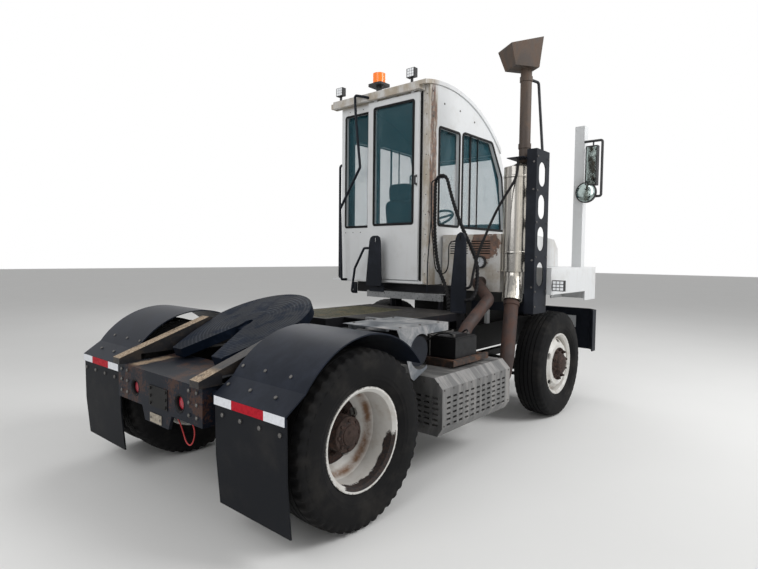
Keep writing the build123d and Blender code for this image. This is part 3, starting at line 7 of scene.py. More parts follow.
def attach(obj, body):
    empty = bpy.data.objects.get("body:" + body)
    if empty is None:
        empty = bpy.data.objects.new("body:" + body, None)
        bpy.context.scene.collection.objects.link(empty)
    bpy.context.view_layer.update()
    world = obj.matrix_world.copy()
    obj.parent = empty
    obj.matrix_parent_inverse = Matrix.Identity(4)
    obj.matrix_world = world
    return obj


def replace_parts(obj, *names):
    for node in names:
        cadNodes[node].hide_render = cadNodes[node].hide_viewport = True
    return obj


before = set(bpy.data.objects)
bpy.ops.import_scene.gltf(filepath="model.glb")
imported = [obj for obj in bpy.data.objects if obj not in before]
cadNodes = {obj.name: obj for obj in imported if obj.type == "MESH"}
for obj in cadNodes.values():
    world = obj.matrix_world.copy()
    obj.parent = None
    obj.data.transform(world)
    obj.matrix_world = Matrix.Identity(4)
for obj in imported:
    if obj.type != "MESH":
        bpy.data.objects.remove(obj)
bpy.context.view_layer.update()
print("frame loaded")

# Mesh helpers: every part is rings of points, worked out as whole arrays and then joined

wholeTurn = 2 * math.pi
backward, rightward, upward = (-1, 0, 0), (0, -1, 0), (0, 0, 1)


def circle(count):
    return np.linspace(0, wholeTurn, count, endpoint=False)


def solidPart(points, columns, closed=False):
    # rows of points joined by quads, with flat caps unless the last row meets the first; the sign of the volume,
    # a sum of a . (b x c) over its triangles, tells whether the faces have to be turned outwards
    points = np.reshape(points, (-1, 3))
    count = len(points)
    row = np.arange(0, count if closed else count - columns, columns)[:, None]
    column = np.arange(columns)[None]
    nextRow, nextColumn = (row + columns) % count, (column + 1) % columns
    faces = np.stack([row + column, nextRow + column, nextRow + nextColumn, row + nextColumn], -1)
    faces = faces.reshape(-1, 4).tolist()
    if not closed:
        faces += [list(range(columns))[::-1], list(range(count - columns, count))]
    volume = sum(points[face[0]] @ np.cross(points[face[i]], points[face[i + 1]])
                 for face in faces for i in range(1, len(face) - 1))
    return points, [face[::-1] for face in faces] if volume < 0 else faces


def makePiece(name, parts, material, smoothAngle=30, body="chassis"):
    # a mesh piece that rides on a body, with edges sharper than smoothAngle kept hard
    points, faces = [], []
    for partPoints, partFaces in parts:
        faces += [[corner + len(points) for corner in face] for face in partFaces]
        points += partPoints.tolist()
    mesh = bpy.data.meshes.new(name)
    mesh.from_pydata(points, [], faces)
    mesh.validate()
    mesh.update()
    mesh.materials.append(material)
    mesh.shade_smooth()
    mesh.set_sharp_from_angle(angle=math.radians(smoothAngle))
    piece = bpy.data.objects.new(name, mesh)
    bpy.context.scene.collection.objects.link(piece)
    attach(piece, body)
    return piece


def boxPart(low, high, bevel=0.0):
    # a box whose upright edges are cut by a bevel: eight corners, or every second one of them without
    (x0, y0, z0), (x1, y1, z1) = low, high
    b = min(bevel, 0.45 * min(x1 - x0, y1 - y0))
    ring = [(x0 + b, y0), (x1 - b, y0), (x1, y0 + b), (x1, y1 - b), (x1 - b, y1), (x0 + b, y1), (x0, y1 - b),
            (x0, y0 + b)][::1 if b else 2]
    return solidPart([(x, y, z) for z in (z0, z1) for x, y in ring], len(ring))


def basis(direction):
    # two unit vectors square to a direction, and its own
    w = np.array(direction, float) / np.linalg.norm(direction)
    u = np.cross(upward if abs(w[2]) < 0.9 else (1, 0, 0), w)
    u /= np.linalg.norm(u)
    return u, np.cross(w, u), w


def turnedPart(profile, centre, axis, count=32, closed=False, wave=None):
    # a profile of (distance along the axis, radius) carried round the axis; wave(angle, profile) adds to the radius
    profile = np.array(profile, float)
    u, v, w = basis(axis)
    angle = circle(count)
    ring = np.cos(angle)[:, None] * u + np.sin(angle)[:, None] * v
    radius = profile[:, 1:] + (wave(angle, profile) if wave else 0)
    return solidPart(np.array(centre) + profile[:, :1, None] * w + radius[:, :, None] * ring, count, closed)


def boltParts(centres, axis, radius=0.012, height=0.008, sides=6):
    # heads with a chamfered top, one at each centre, standing out along the axis
    profile = ((0, radius), (height * 0.75, radius), (height, radius * 0.78))
    return [turnedPart(profile, centre, axis, sides) for centre in centres]


def distances(path):
    # the distance of each point of a path from its start
    return np.concatenate([[0], np.cumsum(np.linalg.norm(np.diff(path, axis=0), axis=1))])


def tubeAlong(path, radius, count=12, closed=False, wave=None):
    # a round section carried along a path without twist; wave(distance, angle) adds to the radius
    tangent = np.roll(path, -1, 0) - np.roll(path, 1, 0) if closed else np.gradient(path, axis=0)
    tangent /= np.linalg.norm(tangent, axis=1)[:, None]
    u = basis(tangent[0])[0]
    frames = []
    for w in tangent:
        u = u - w * (u @ w)
        u /= np.linalg.norm(u)
        frames.append((u, np.cross(w, u)))
    frames = np.array(frames)[:, :, None]
    angle = circle(count)[:, None]
    ring = np.cos(angle) * frames[:, 0] + np.sin(angle) * frames[:, 1]
    radius = np.full((len(path), count), radius) + (wave(distances(path)[:, None], angle.T) if wave else 0)
    return solidPart(path[:, None] + radius[:, :, None] * ring, count, closed)


def roundedPath(corners, radius, steps=6):
    # a closed path through corners, each rounded by an arc
    corners = np.array(corners, float)
    path = []
    for before, corner, after in zip(np.roll(corners, 1, 0), corners, np.roll(corners, -1, 0)):
        a, b = before - corner, after - corner
        a, b = a / np.linalg.norm(a), b / np.linalg.norm(b)
        half = math.acos(a @ b) / 2
        centre = corner + (a + b) / np.linalg.norm(a + b) * radius / math.sin(half)
        start, end = (corner + side * radius / math.tan(half) - centre for side in (a, b))
        for share in np.linspace(0, 1, steps):
            spot = start * (1 - share) + end * share
            path.append(centre + spot / np.linalg.norm(spot) * radius)
    return np.array(path)


def stripAlong(path, normal, width, depth):
    # a flat band with small chamfers, carried round a closed path that lies in one plane
    tangent = np.roll(path, -1, 0) - np.roll(path, 1, 0)
    tangent /= np.linalg.norm(tangent, axis=1)[:, None]
    side = np.cross(tangent, normal)
    c, half = min(width, depth) * 0.3, width / 2
    section = [(-half, 0), (-half, depth - c), (c - half, depth), (half - c, depth), (half, depth - c), (half, 0)]
    return solidPart(np.stack([path + side * a + np.array(normal) * b for a, b in section], 1), len(section), True)


# Materials: each one is a small tree of noise and position masks on Object coordinates


class Value:
    # a node's output; each operator and method adds a node that takes it, and gives that node's output

    def __init__(self, socket):
        self.socket = socket

    def add(self, kind, inputs, output=0, **settings):
        made = self.socket.id_data.nodes.new(kind)
        for key, value in settings.items():
            setattr(made, key, value)
        for key, value in inputs.items():
            feed(made.inputs[key], value)
        return Value(made.outputs[output])

    def calc(self, operation, other=0.0):
        return self.add("ShaderNodeMath", {0: self, 1: other}, operation=operation)

    def __add__(self, other):
        return self.calc("ADD", other)

    def __sub__(self, other):
        return self.calc("SUBTRACT", other)

    def __mul__(self, other):
        return self.calc("MULTIPLY", other)

    def __or__(self, other):
        return self.calc("MAXIMUM", other)

    def __abs__(self):
        return self.calc("ABSOLUTE")

    def vector(self, operation, other=(0, 0, 0), output=0):
        return self.add("ShaderNodeVectorMath", {0: self, 1: other}, output, operation=operation)

    def scaled(self, *factors):
        return self.vector("MULTIPLY", factors)

    def away(self, centre, squash=(1, 1, 1)):
        # distance from a point, each axis first scaled
        return self.vector("SUBTRACT", centre).scaled(*squash).vector("LENGTH", output="Value")

    def axes(self):
        return [Value(one) for one in self.add("ShaderNodeSeparateXYZ", {0: self}).socket.node.outputs]

    def noise(self, scale, detail=4.0, rough=0.55, twist=0.0):
        return self.add("ShaderNodeTexNoise", {"Vector": self, "Scale": scale, "Detail": detail, "Roughness": rough,
                                               "Distortion": twist})

    def ramp(self, low, high, start=0.0, end=1.0):
        # spread smoothly between two limits
        return self.add("ShaderNodeMapRange", {"Value": self, "From Min": low, "From Max": high, "To Min": start,
                                               "To Max": end}, interpolation_type="SMOOTHSTEP")

    def below(self, low, high):
        return self.ramp(low, high, 1, 0)

    def between(self, low, high, soft=0.0005):
        # 1 between two limits, with edges as soft as asked
        return self.ramp(low - soft, low + soft) * self.below(high - soft, high + soft)

    def blend(self, a, b):
        # from colour a at 0 to colour b at 1
        return self.add("ShaderNodeMix", {0: self, 6: a, 7: b}, 2, data_type="RGBA")

    def bump(self, strength, distance):
        return self.add("ShaderNodeBump", {"Height": self, "Strength": strength, "Distance": distance})


def feed(socket, value):
    # a socket's input: another node's output, a number, a vector or a colour of three numbers
    if isinstance(value, Value):
        socket.id_data.links.new(value.socket, socket)
    else:
        socket.default_value = (*value, 1) if socket.type == "RGBA" else value


def newPaint(name):
    # a material and the Object coordinates in it
    material = bpy.data.materials.new(name)
    material.use_nodes = True
    return material, Value(material.node_tree.nodes.new("ShaderNodeTexCoord").outputs["Object"])


def normalAt(spot):
    return Value(spot.socket.node.outputs["Normal"])


def facingUp(spot):
    return normalAt(spot).axes()[2]


shaderInputs = {"base": "Base Color", "rough": "Roughness", "metal": "Metallic", "normal": "Normal", "alpha": "Alpha",
                "gloss": "Specular IOR Level", "bend": "IOR", "coat": "Coat Weight", "glow": "Emission Strength",
                "glowColor": "Emission Color"}


def finishPaint(material, **values):
    for key, value in values.items():
        feed(material.node_tree.nodes["Principled BSDF"].inputs[shaderInputs[key]], value)
    return material


paintSettings = {
    "white": (0.74, 0.755, 0.765), "grime": (0.38, 0.34, 0.28), "run": (0.33, 0.21, 0.12),
    "rust": (0.2, 0.08, 0.036), "darkRust": (0.055, 0.026, 0.017), "dust": (0.2, 0.18, 0.15),
    "insideShade": (0.06, 0.066, 0.072), "beige": (0.42, 0.36, 0.28), "band": (0.01, 0.011, 0.014),
    "tan": ((0.46, 0.37, 0.27), (0.2, 0.14, 0.095)), "grease": ((0.01, 0.01, 0.012), (0.03, 0.024, 0.02)),
}


def makeWhitePaint(name, streaks, rust, inside=None, stain=None, dirt=None):
    # white enamel with soft grime, vertical runs and rust freckles; inside, stain and dirt are masks by place, and
    # inside marks faces painted dark grey as painted shade
    material, spot = newPaint(name)
    s = paintSettings
    grime = spot.noise(3.0, 6, 0.62).ramp(0.5, 0.78)
    runs = spot.scaled(22, 22, 1.2).noise(1.0, 5, 0.6).ramp(0.55, 0.8)
    freckle = spot.noise(38, 5, 0.7).ramp(0.66, 0.74)
    patch = spot.noise(2.2, 3).ramp(0.5, 0.66)
    base = (grime * 0.3).blend(s["white"], s["grime"])
    base = (runs * (streaks * 0.5)).blend(base, s["run"])
    base = (freckle * patch * rust).blend(base, s["rust"])
    if dirt:
        base = dirt(spot).blend(base, s["beige"])
    if stain:
        scale = spot.noise(30, 5, 0.7).ramp(0.35, 0.65).blend(s["darkRust"], s["rust"])
        base = stain(spot).blend(base, scale)
    rough = grime.ramp(0, 1, 0.36, 0.62)
    if inside:
        # painted shade: faces within the inside mask get a dark grey, so what is seen through panes and louvres looks
        # shaded
        dark = inside(spot)
        base = dark.blend(base, s["insideShade"])
        rough = dark.ramp(0, 1, 0.4, 0.85)
    return finishPaint(material, base=base, rough=rough, coat=0.12, normal=spot.noise(90, 3).bump(0.06, 0.001))


def cabInside(spot):
    # the cab's inner faces, which get painted shade: between the cab's walls and under the roof's arc
    x, y, z = spot.axes()
    arc = spot.away((0.746, 0, 1.712), (1, 0, 1))
    return (x.between(0.4833, 2.1365) * y.between(-0.0368, 1.0968) * z.ramp(1.3485, 1.3492)
            * arc.below(1.611, 1.6116))


def hoodInside(spot):
    # behind the hood's sheet, seen through its louvres, where its inner faces get painted shade: under each of
    # the four lines along the middle of its sheet, a line being where x times one number plus z times another stays
    # the same
    x, y, z = spot.axes()
    mask = x.ramp(0.685, 0.686) * y.between(-0.7495, -0.1065)
    for alongX, alongZ, limit in ((-0.0183, 1, 1.7812), (0.0652, 1, 1.9068), (0.902, 1, 3.5442), (1, 0.0894, 2.2144)):
        mask = mask * (x * alongX + z * alongZ).below(limit - 0.001, limit + 0.001)
    return mask


def cornerRust(spot):
    # rust in one tapering run down the right rear corner post, about 60 mm wide at eye height
    x, y, z = spot.axes()
    wave = (spot.scaled(3, 3, 5).noise(1.0) - 0.5) * 0.07
    width = z.between(1.85, 3.28, 0.35) * 0.048
    run = ((abs(x + wave - 0.512) - width).below(0.0, 0.012) * y.below(-0.03, 0.0) * z.between(1.75, 3.3, 0.06)
           * spot.scaled(26, 26, 5).noise(1.0, 6, 0.7).ramp(0.36, 0.5, 0.25, 1))
    seam = x.between(0.43, 0.475, 0.01) * y.below(-0.02, 0.01)
    foot = z.between(1.29, 1.36, 0.03) * y.below(0.0, 0.15)
    corner = x.below(0.4, 0.46) * z.ramp(3.2, 3.24) * y.ramp(0.1, 0.0, 0.2, 1)
    return (run | (seam | foot | corner) * spot.noise(16, 6, 0.72).ramp(0.6, 0.66)) * 0.9


def cabDirt(spot):
    # a beige film over the roof's rear header and the right rear corner post
    x, y, z = spot.axes()
    post = x.between(0.42, 0.575, 0.015) * y.below(-0.02, 0.02)
    header = x.below(0.42, 0.47) * z.ramp(3.21, 3.235)
    return (post | header) * spot.scaled(8, 8, 3).noise(1.0, 6, 0.7).ramp(0.34, 0.62, 0.3, 1.0)


def hoodDirt(spot):
    # the hood's sun-yellowed enamel, strongest on its rear face
    return spot.noise(5, 6, 0.7).ramp(0.34, 0.66, 0.25, 1.0) * spot.axes()[0].ramp(0.7, 1.1, 0.85, 0.25)


def hoodRust(spot):
    # scale round the right-hand louvres and over the rear top edge above them, spots elsewhere
    x = spot.axes()[0]
    blots = spot.scaled(9, 9, 11).noise(1.0, 7, 0.72, 0.3)
    reach = spot.away((0.68, -0.58, 1.69), (0.35, 1.0, 1.15)) + (blots - 0.5) * 0.3
    face = reach.below(0.15, 0.175) * x.below(1.05, 1.25)
    return (face | blots.ramp(0.62, 0.66) * x.below(0.9, 1.3)) * 0.92


def makeBlackPaint(name, base=(0.009, 0.011, 0.016), dusty=0.35, wear=0.25, bare=None, wornFrom=0.59):
    # black enamel with dust where it faces up, and worn rusty places; bare is a mask and the colour it shows
    material, spot = newPaint(name)
    cloud = spot.noise(4.0, 6, 0.65)
    fine = spot.noise(60, 4, 0.7)
    dust = facingUp(spot).ramp(0.15, 0.95) * cloud.ramp(0.35, 0.75, 0.2, 1.0) * dusty
    shade = cloud.ramp(0.4, 0.7).blend(base, [c * 1.7 + 0.001 for c in base])
    worn = (fine * 0.35 + cloud * 0.65).ramp(wornFrom, wornFrom + 0.08)
    shade = (worn * wear).blend(shade, paintSettings["darkRust"])
    shade = (dust * 0.5).blend(shade, paintSettings["dust"])
    if bare:
        mask, metal = bare
        light = cloud.ramp(0.35, 0.65).blend(metal, [c * 1.5 for c in metal])
        shade = (mask(spot) * fine.ramp(0.3, 0.45)).blend(shade, light)
    return finishPaint(material, base=shade, rough=dust.ramp(0.0, 0.4, 0.46, 0.8), gloss=0.13,
                       normal=fine.bump(0.12, 0.001))


def stepBeam(spot):
    # the step beam below the rear door and the deck's front plate are walked bare
    x, y, z = spot.axes()
    return x.between(0.32, 0.4415) * z.ramp(1.136, 1.14) * 0.9


def tailRubs(spot):
    # the cover beside the left ramp, rubbed bare by trailer plates
    x, y, z = spot.axes()
    across = y + spot.scaled(14, 30, 1).noise(1.0, 5, 0.7) * 0.1
    return x.between(-2.32, -2.06, 0.03) * across.between(0.375, 0.455, 0.02) * facingUp(spot).ramp(0.6, 0.8)


def makeSteel(name, dark, light, rustShare, metal, roughness, scale=6.0, stretch=(1, 1, 1),
              rustColor=paintSettings["rust"], band=None):
    # worked steel: a dark film, rubbed metal and rust in patches; band is a mask painted black
    material, spot = newPaint(name)
    cloud = spot.scaled(*stretch).noise(scale, 7, 0.68, 0.6)
    fine = spot.noise(scale * 14, 5, 0.7)
    scratch = spot.scaled(4, 60, 60).noise(1.0, 4, 0.6)
    rusty = (cloud * 0.6 + fine * 0.4).ramp(0.5, 0.62)
    shade = (rusty * rustShare).blend(cloud.ramp(0.38, 0.66).blend(dark, light), rustColor)
    metallic = rusty.ramp(0, 1, metal, metal * 0.2)
    if band:
        painted = band(spot)
        shade = painted.blend(shade, paintSettings["band"])
        metallic = metallic * painted.below(0, 1)
    return finishPaint(material, base=shade, metal=metallic, rough=cloud.ramp(0.35, 0.7, *roughness),
                       normal=(fine + scratch * 0.7).bump(0.3, 0.0015))


def makeRamp(name):
    # guide ramps: the left one's top and the right one's rear end are rubbed to a dry tan, the rest is greasy
    material, spot = newPaint(name)
    cloud = spot.scaled(0.7, 1.6, 1).noise(9, 6, 0.7, 0.5)
    fine = spot.noise(90, 5, 0.7)
    x, y, z = spot.axes()
    rubbed = y.ramp(-0.3, 0.3) | x.ramp(-2.22, -2.28)
    worn = facingUp(spot).ramp(0.7, 0.85) * cloud.ramp(0.34, 0.46) * rubbed
    tan = fine.ramp(0.4, 0.62).blend(*paintSettings["tan"])
    grease = cloud.ramp(0.45, 0.62).blend(*paintSettings["grease"])
    return finishPaint(material, base=worn.blend(grease, tan), rough=worn.ramp(0, 1, 0.45, 0.85), gloss=0.3,
                       normal=(fine + cloud).bump(0.4, 0.003))


def strutPaint(spot):
    # everything off the stack's own round, below the cap, is the painted strut
    return spot.away((0.79, -0.93, 0), (1, 1, 0)).ramp(0.0615, 0.063) * spot.axes()[2].below(3.318, 3.322)


plateSettings = {"jaw": (-1.611, 0, 0.995), "lean": math.radians(21.9), "ringWidth": 0.026}


def makeGreasyPlate(name):
    # the fifth wheel's top: black grease in rings about the jaw, rubbed blue grey on their crests; the distance
    # from the jaw's axis is the length of (place - jaw) x axis
    material, spot = newPaint(name)
    lean = plateSettings["lean"]
    axis = (-math.sin(lean), 0, math.cos(lean))
    across = spot.vector("SUBTRACT", plateSettings["jaw"]).vector("CROSS_PRODUCT", axis)
    reach = across.vector("LENGTH", output="Value")
    rings = (reach * (wholeTurn / plateSettings["ringWidth"]) + spot.noise(14, 4, 0.6) * 4.0).calc("SINE")
    top = normalAt(spot).vector("DOT_PRODUCT", axis, "Value").ramp(0.9, 0.96)
    crest = rings.ramp(0.2, 1.0) * reach.ramp(0.12, 0.16) * top
    smear = spot.noise(7, 6, 0.7).ramp(0.42, 0.66)
    shade = smear.blend((0.003, 0.0055, 0.011), (0.008, 0.013, 0.024))
    shade = (crest * spot.noise(5, 4).ramp(0.4, 0.6) * 0.45).blend(shade, (0.04, 0.05, 0.07))
    shade = spot.noise(9, 5, 0.7).ramp(0.64, 0.72).blend(shade, (0.04, 0.03, 0.024))
    return finishPaint(material, base=shade, metal=crest.ramp(0, 1, 0.0, 0.3), rough=smear.ramp(0, 1, 0.46, 0.66),
                       gloss=0.05, normal=(rings * top * 0.45 + smear * 0.9).bump(0.3, 0.002))


def makeRimPaint(name, centreX, drumY, rustHub, chipped):
    # white wheel enamel, a rust-brown hub and drum, a stained ring where the disc meets the rim, and a crescent of
    # chips inside the lip, low on the rear side
    material, spot = newPaint(name)
    x, y, z = spot.axes()
    reach = spot.away((centreX, 0, 0.52), (1, 0, 1))
    depth = abs(y)
    cloud = spot.noise(9, 6, 0.68)
    fine = spot.noise(70, 4, 0.7)
    base = cloud.ramp(0.45, 0.75, 0, 0.5).blend((0.68, 0.67, 0.64), (0.42, 0.36, 0.29))
    ring = reach.between(0.238, 0.268, 0.012) * depth.ramp(0.99, 1.04, 1, 0.25) * cloud.ramp(0.35, 0.6, 0.4, 1)
    base = ring.blend(base, (0.19, 0.095, 0.045))
    torn = cloud * 0.16 + fine * 0.04
    low = 0.52 - 0.5 * centreX
    chips = ((depth + torn).ramp(1.222, 1.226) * reach.ramp(0.24, 0.26)
             * (z - x * 0.5 + torn * 0.8).ramp(low - 0.085, low - 0.1) * reach.below(0.2895, 0.291) * chipped)
    rusty = chips | reach.ramp(0.297, 0.3) * fine.ramp(0.5, 0.56) * 0.7
    base = rusty.blend(base, fine.ramp(0.4, 0.6).blend((0.01, 0.009, 0.01), (0.035, 0.02, 0.015)))
    drum = reach.below(0.2055, 0.2065) * depth.below(drumY, drumY + 0.004)
    hub = reach.below(rustHub, rustHub + 0.004) | drum
    brown = spot.noise(45, 5, 0.7).ramp(0.4, 0.62).blend((0.014, 0.009, 0.008), (0.055, 0.027, 0.019))
    matt = hub | rusty
    return finishPaint(material, base=hub.blend(base, brown), rough=matt.ramp(0, 1, 0.4, 0.85),
                       normal=(fine * matt.ramp(0, 1, 0.25, 1)).bump(0.35, 0.002))


def makeRubber(name, base, dust, roughness=0.78, scale=5.0):
    material, spot = newPaint(name)
    shade = (spot.noise(scale, 6, 0.65).ramp(0.45, 0.75) * dust).blend(base, (0.1, 0.09, 0.078))
    return finishPaint(material, base=shade, rough=roughness, gloss=0.14,
                       normal=spot.noise(120, 3, 0.6).bump(0.15, 0.001))


def makeGlass(name, tint, alpha):
    # tinted pane: see-through, with a thin film of dust
    material, spot = newPaint(name)
    film = spot.noise(2.5, 5, 0.6).ramp(0.45, 0.8)
    material.surface_render_method = "BLENDED"
    return finishPaint(material, base=(film * 0.2).blend(tint, (0.3, 0.38, 0.38)), bend=1.45,
                       rough=film.ramp(0, 1, 0.02, 0.09), alpha=film.ramp(0, 1, alpha, alpha + 0.1))


def makePlain(name, base, roughness=0.5, metal=0.0, vary=0.25, scale=9.0, glow=0.0, gloss=0.5):
    # one colour broken by a soft cloud, for small trim
    material, spot = newPaint(name)
    cloud = spot.noise(scale, 5, 0.6)
    glowing = {"glow": glow, "glowColor": base} if glow else {}
    return finishPaint(material, base=cloud.ramp(0.35, 0.7).blend(base, [c * (1 - vary) for c in base]), metal=metal,
                       rough=cloud.ramp(0.3, 0.75, roughness, min(1, roughness + 0.18)), gloss=gloss,
                       normal=spot.noise(70, 3).bump(0.08, 0.001), **glowing)


def makeLens(name, mask, inner, outer, glow=0.0):
    # a lens and its housing in one solid, told apart by place
    material, spot = newPaint(name)
    lens = mask(spot)
    facets = spot.add("ShaderNodeTexVoronoi", {"Vector": spot, "Scale": 150.0})
    shade = facets.ramp(0.1, 0.6, 0, 0.35).blend(inner, [c * 0.55 for c in inner])
    glowing = {"glow": lens * glow, "glowColor": inner} if glow else {}
    return finishPaint(material, base=lens.blend(outer, shade), rough=lens.ramp(0, 1, 0.55, 0.12),
                       normal=facets.bump(0.15, 0.001), **glowing)


def beaconDome(spot):
    x, y, z = spot.axes()
    return z.ramp(3.4295, 3.4305) * y.between(0.5, 0.7)


def headLamps(spot):
    return spot.axes()[0].ramp(0.0, 0.1)


def dress(names, material):
    # shows a material on CAD nodes, and gives it back
    for name in names.split():
        mesh = cadNodes[name].data
        mesh.materials.clear()
        mesh.materials.append(material)
    return material


dress("cab_floor cab_rear_wall cab_left_wall cab_right_wall cab_roof cab_front",
      makeWhitePaint("cab enamel", 0.35, 0.3, cabInside, cornerRust, cabDirt))
dress("rear_door", makeWhitePaint("door enamel", 0.2, 0.15))
dress("hood", makeWhitePaint("hood enamel", 0.8, 0.9, hoodInside, hoodRust, hoodDirt))
dress("front_platform", makeWhitePaint("platform enamel", 0.4, 0.7))
dress("guard_channel tanks radiator front_bumper hose_stands cab_handrails", makeBlackPaint("black enamel"))
dress("deck_frame", makeBlackPaint("deck paint", (0.008, 0.008, 0.01), 0.5, 0.5, (stepBeam, (0.23, 0.235, 0.24))))
framePaint = dress("frame_rails rear_axle front_axle engine_block lift_barrels knuckle_left knuckle_right tie_rod",
                   makeBlackPaint("frame paint", (0.008, 0.008, 0.008), 0.3, 0.8))
dress("tail_plate",
      makeBlackPaint("tail paint", (0.0045, 0.0065, 0.0115), 0.1, 0.9, (tailRubs, (0.24, 0.18, 0.125)), 0.52))
dress("rear_fenders", makeBlackPaint("fender enamel", (0.0045, 0.0075, 0.015), 0.1, 0.12))
dress("boom", makeSteel("greasy steel", (0.01, 0.01, 0.011), (0.032, 0.03, 0.03), 0.25, 0.25, (0.32, 0.6)))
dress("fifth_wheel", makeGreasyPlate("greased plate"))
dress("guide_ramps", makeRamp("rubbed ramp steel"))
dress("battery_tray", makeSteel("rusty tray", (0.02, 0.014, 0.012), (0.06, 0.038, 0.028), 0.6, 0.05, (0.6, 0.9), 12))
dress("exhaust_stack",
      makeSteel("scaled stack", (0.055, 0.04, 0.032), (0.125, 0.09, 0.068), 0.45, 0.15, (0.55, 0.85), 8,
                (1, 1, 0.35), (0.085, 0.04, 0.024), strutPaint))
dress("exhaust_pipes",
      makeSteel("brown pipe", (0.028, 0.016, 0.014), (0.07, 0.038, 0.029), 0.5, 0.05, (0.6, 0.85), 8, (1, 1, 0.5),
                (0.075, 0.03, 0.019)))
# the muffler's chrome gets a cream tint and cream and dark upright streaks, which are painted reflections, with a
# little brown staining; its bands share it
chromePipe = dress("muffler",
                   makeSteel("stained chrome with painted reflections", (0.26, 0.25, 0.235), (0.74, 0.69, 0.6), 0.04, 0.88, (0.16, 0.34), 2,
                             (8, 8, 0.12)))
# the aftertreatment box's aluminium is painted about a third darker overall as painted shade for the shadow it stands
# in; its brown streaks are dirt
dress("aftertreatment_box",
      makeSteel("aluminium with painted shade", (0.13, 0.13, 0.13), (0.3, 0.295, 0.29), 0.22, 0.5, (0.4, 0.62), 3, (4, 1, 0.4),
                (0.16, 0.125, 0.09)))
dress("side_cover",
      makeSteel("walked aluminium", (0.13, 0.145, 0.165), (0.42, 0.42, 0.42), 0.08, 0.55, (0.34, 0.6), 5))
dress("deck_grating",
      makeSteel("worn grating", (0.05, 0.048, 0.026), (0.13, 0.125, 0.075), 0.25, 0.1, (0.55, 0.8), 10))
tyreRubber = dress("tyre_front_left tyre_front_right tyre_rear_left tyre_rear_right",
                   makeRubber("tyre rubber", (0.0065, 0.0065, 0.007), 0.15))
dress("mudflaps", makeRubber("flap rubber", (0.005, 0.006, 0.0085), 0.12, 0.6, 2.5))
hoseRubber = makeRubber("hose rubber", (0.006, 0.006, 0.007), 0.1, 0.5)
gasketRubber = makeRubber("gasket rubber", (0.008, 0.008, 0.009), 0.1, 0.55)
dress("cab_glass door_glass", makeGlass("tinted glass", (0.03, 0.165, 0.215), 0.21))
seatFabric = dress("seat", makeRubber("seat fabric", (0.022, 0.022, 0.026), 0.1, 0.9))
darkPlastic = dress("dashboard steering_wheel", makePlain("dark plastic", (0.022, 0.022, 0.024), 0.55))
redLens = makePlain("red lens", (0.3, 0.012, 0.026), 0.2, glow=0.06)
whiteLens = makePlain("white lens", (0.8, 0.82, 0.84), 0.1, vary=0.1, glow=0.25)
dress("lamps", makeLens("lamp glass", headLamps, (0.62, 0.64, 0.66), (0.012, 0.012, 0.013)))
dress("roof_lamps", makeLens("beacon glass", beaconDome, (0.95, 0.2, 0.006), (0.014, 0.014, 0.015), 0.35))
mirrorFace = makePlain("mirror glass", (0.42, 0.5, 0.48), 0.03, 1.0, 0.15, 14)
mirrorShell = dress("mirror_right mirror_left", makePlain("mirror shell", (0.02, 0.02, 0.022), 0.4))
dress("battery", makePlain("battery case", (0.005, 0.005, 0.006), 0.42, gloss=0.25))
boltSteel = makePlain("bolt steel", (0.13, 0.125, 0.12), 0.45, 0.6)
rustyBolt = makePlain("rusty bolt", (0.045, 0.026, 0.02), 0.8, 0.1, 0.5, 30)
dress("lift_rods", makePlain("rod chrome", (0.72, 0.72, 0.73), 0.12, 1.0, 0.1))
whiteTape = makePlain("white tape", (0.72, 0.74, 0.78), 0.4, vary=0.12, scale=60, gloss=0.25)
redTape = makePlain("red tape", (0.42, 0.004, 0.016), 0.4, vary=0.25, scale=60, gloss=0.12)
tagPaint = makePlain("dirty tag", (0.34, 0.3, 0.24), 0.6, vary=0.45, scale=40)
redLine = makePlain("red line", (0.42, 0.03, 0.03), 0.5)
dress("rim_front_left rim_front_right", makeRimPaint("front wheel enamel", 1.226, 1.06, 0.158, 0.15))
dress("rim_rear_left rim_rear_right", makeRimPaint("rear wheel enamel", -1.72, 0.945, 0.118, 1.0))
print("materials made and frame dressed")

# Camera and cords come first

cameraSettings = {"place": (-3.922, -3.176, 1.562), "yaw": 40.608, "pitch": -2.94, "roll": 0.59, "lens": 25.04,
                  "sensor": 36, "far": 500}


def makeCamera():
    # it looks along (cos yaw cos pitch, sin yaw cos pitch, sin pitch), turned about that line by the roll
    s = cameraSettings
    yaw, pitch, roll = (math.radians(s[key]) for key in ("yaw", "pitch", "roll"))
    ahead = Vector((math.cos(yaw) * math.cos(pitch), math.sin(yaw) * math.cos(pitch), math.sin(pitch)))
    right = Vector((math.sin(yaw), -math.cos(yaw), 0))
    up = right.cross(ahead)
    turned = (right * math.cos(roll) + up * math.sin(roll), up * math.cos(roll) - right * math.sin(roll), -ahead)
    data = bpy.data.cameras.new("camera")
    data.lens, data.sensor_width, data.clip_end = s["lens"], s["sensor"], s["far"]
    camera = bpy.data.objects.new("camera", data)
    camera.matrix_world = Matrix.Translation(s["place"]) @ Matrix(turned).transposed().to_4x4()
    bpy.context.scene.collection.objects.link(camera)
    bpy.context.scene.camera = camera


makeCamera()

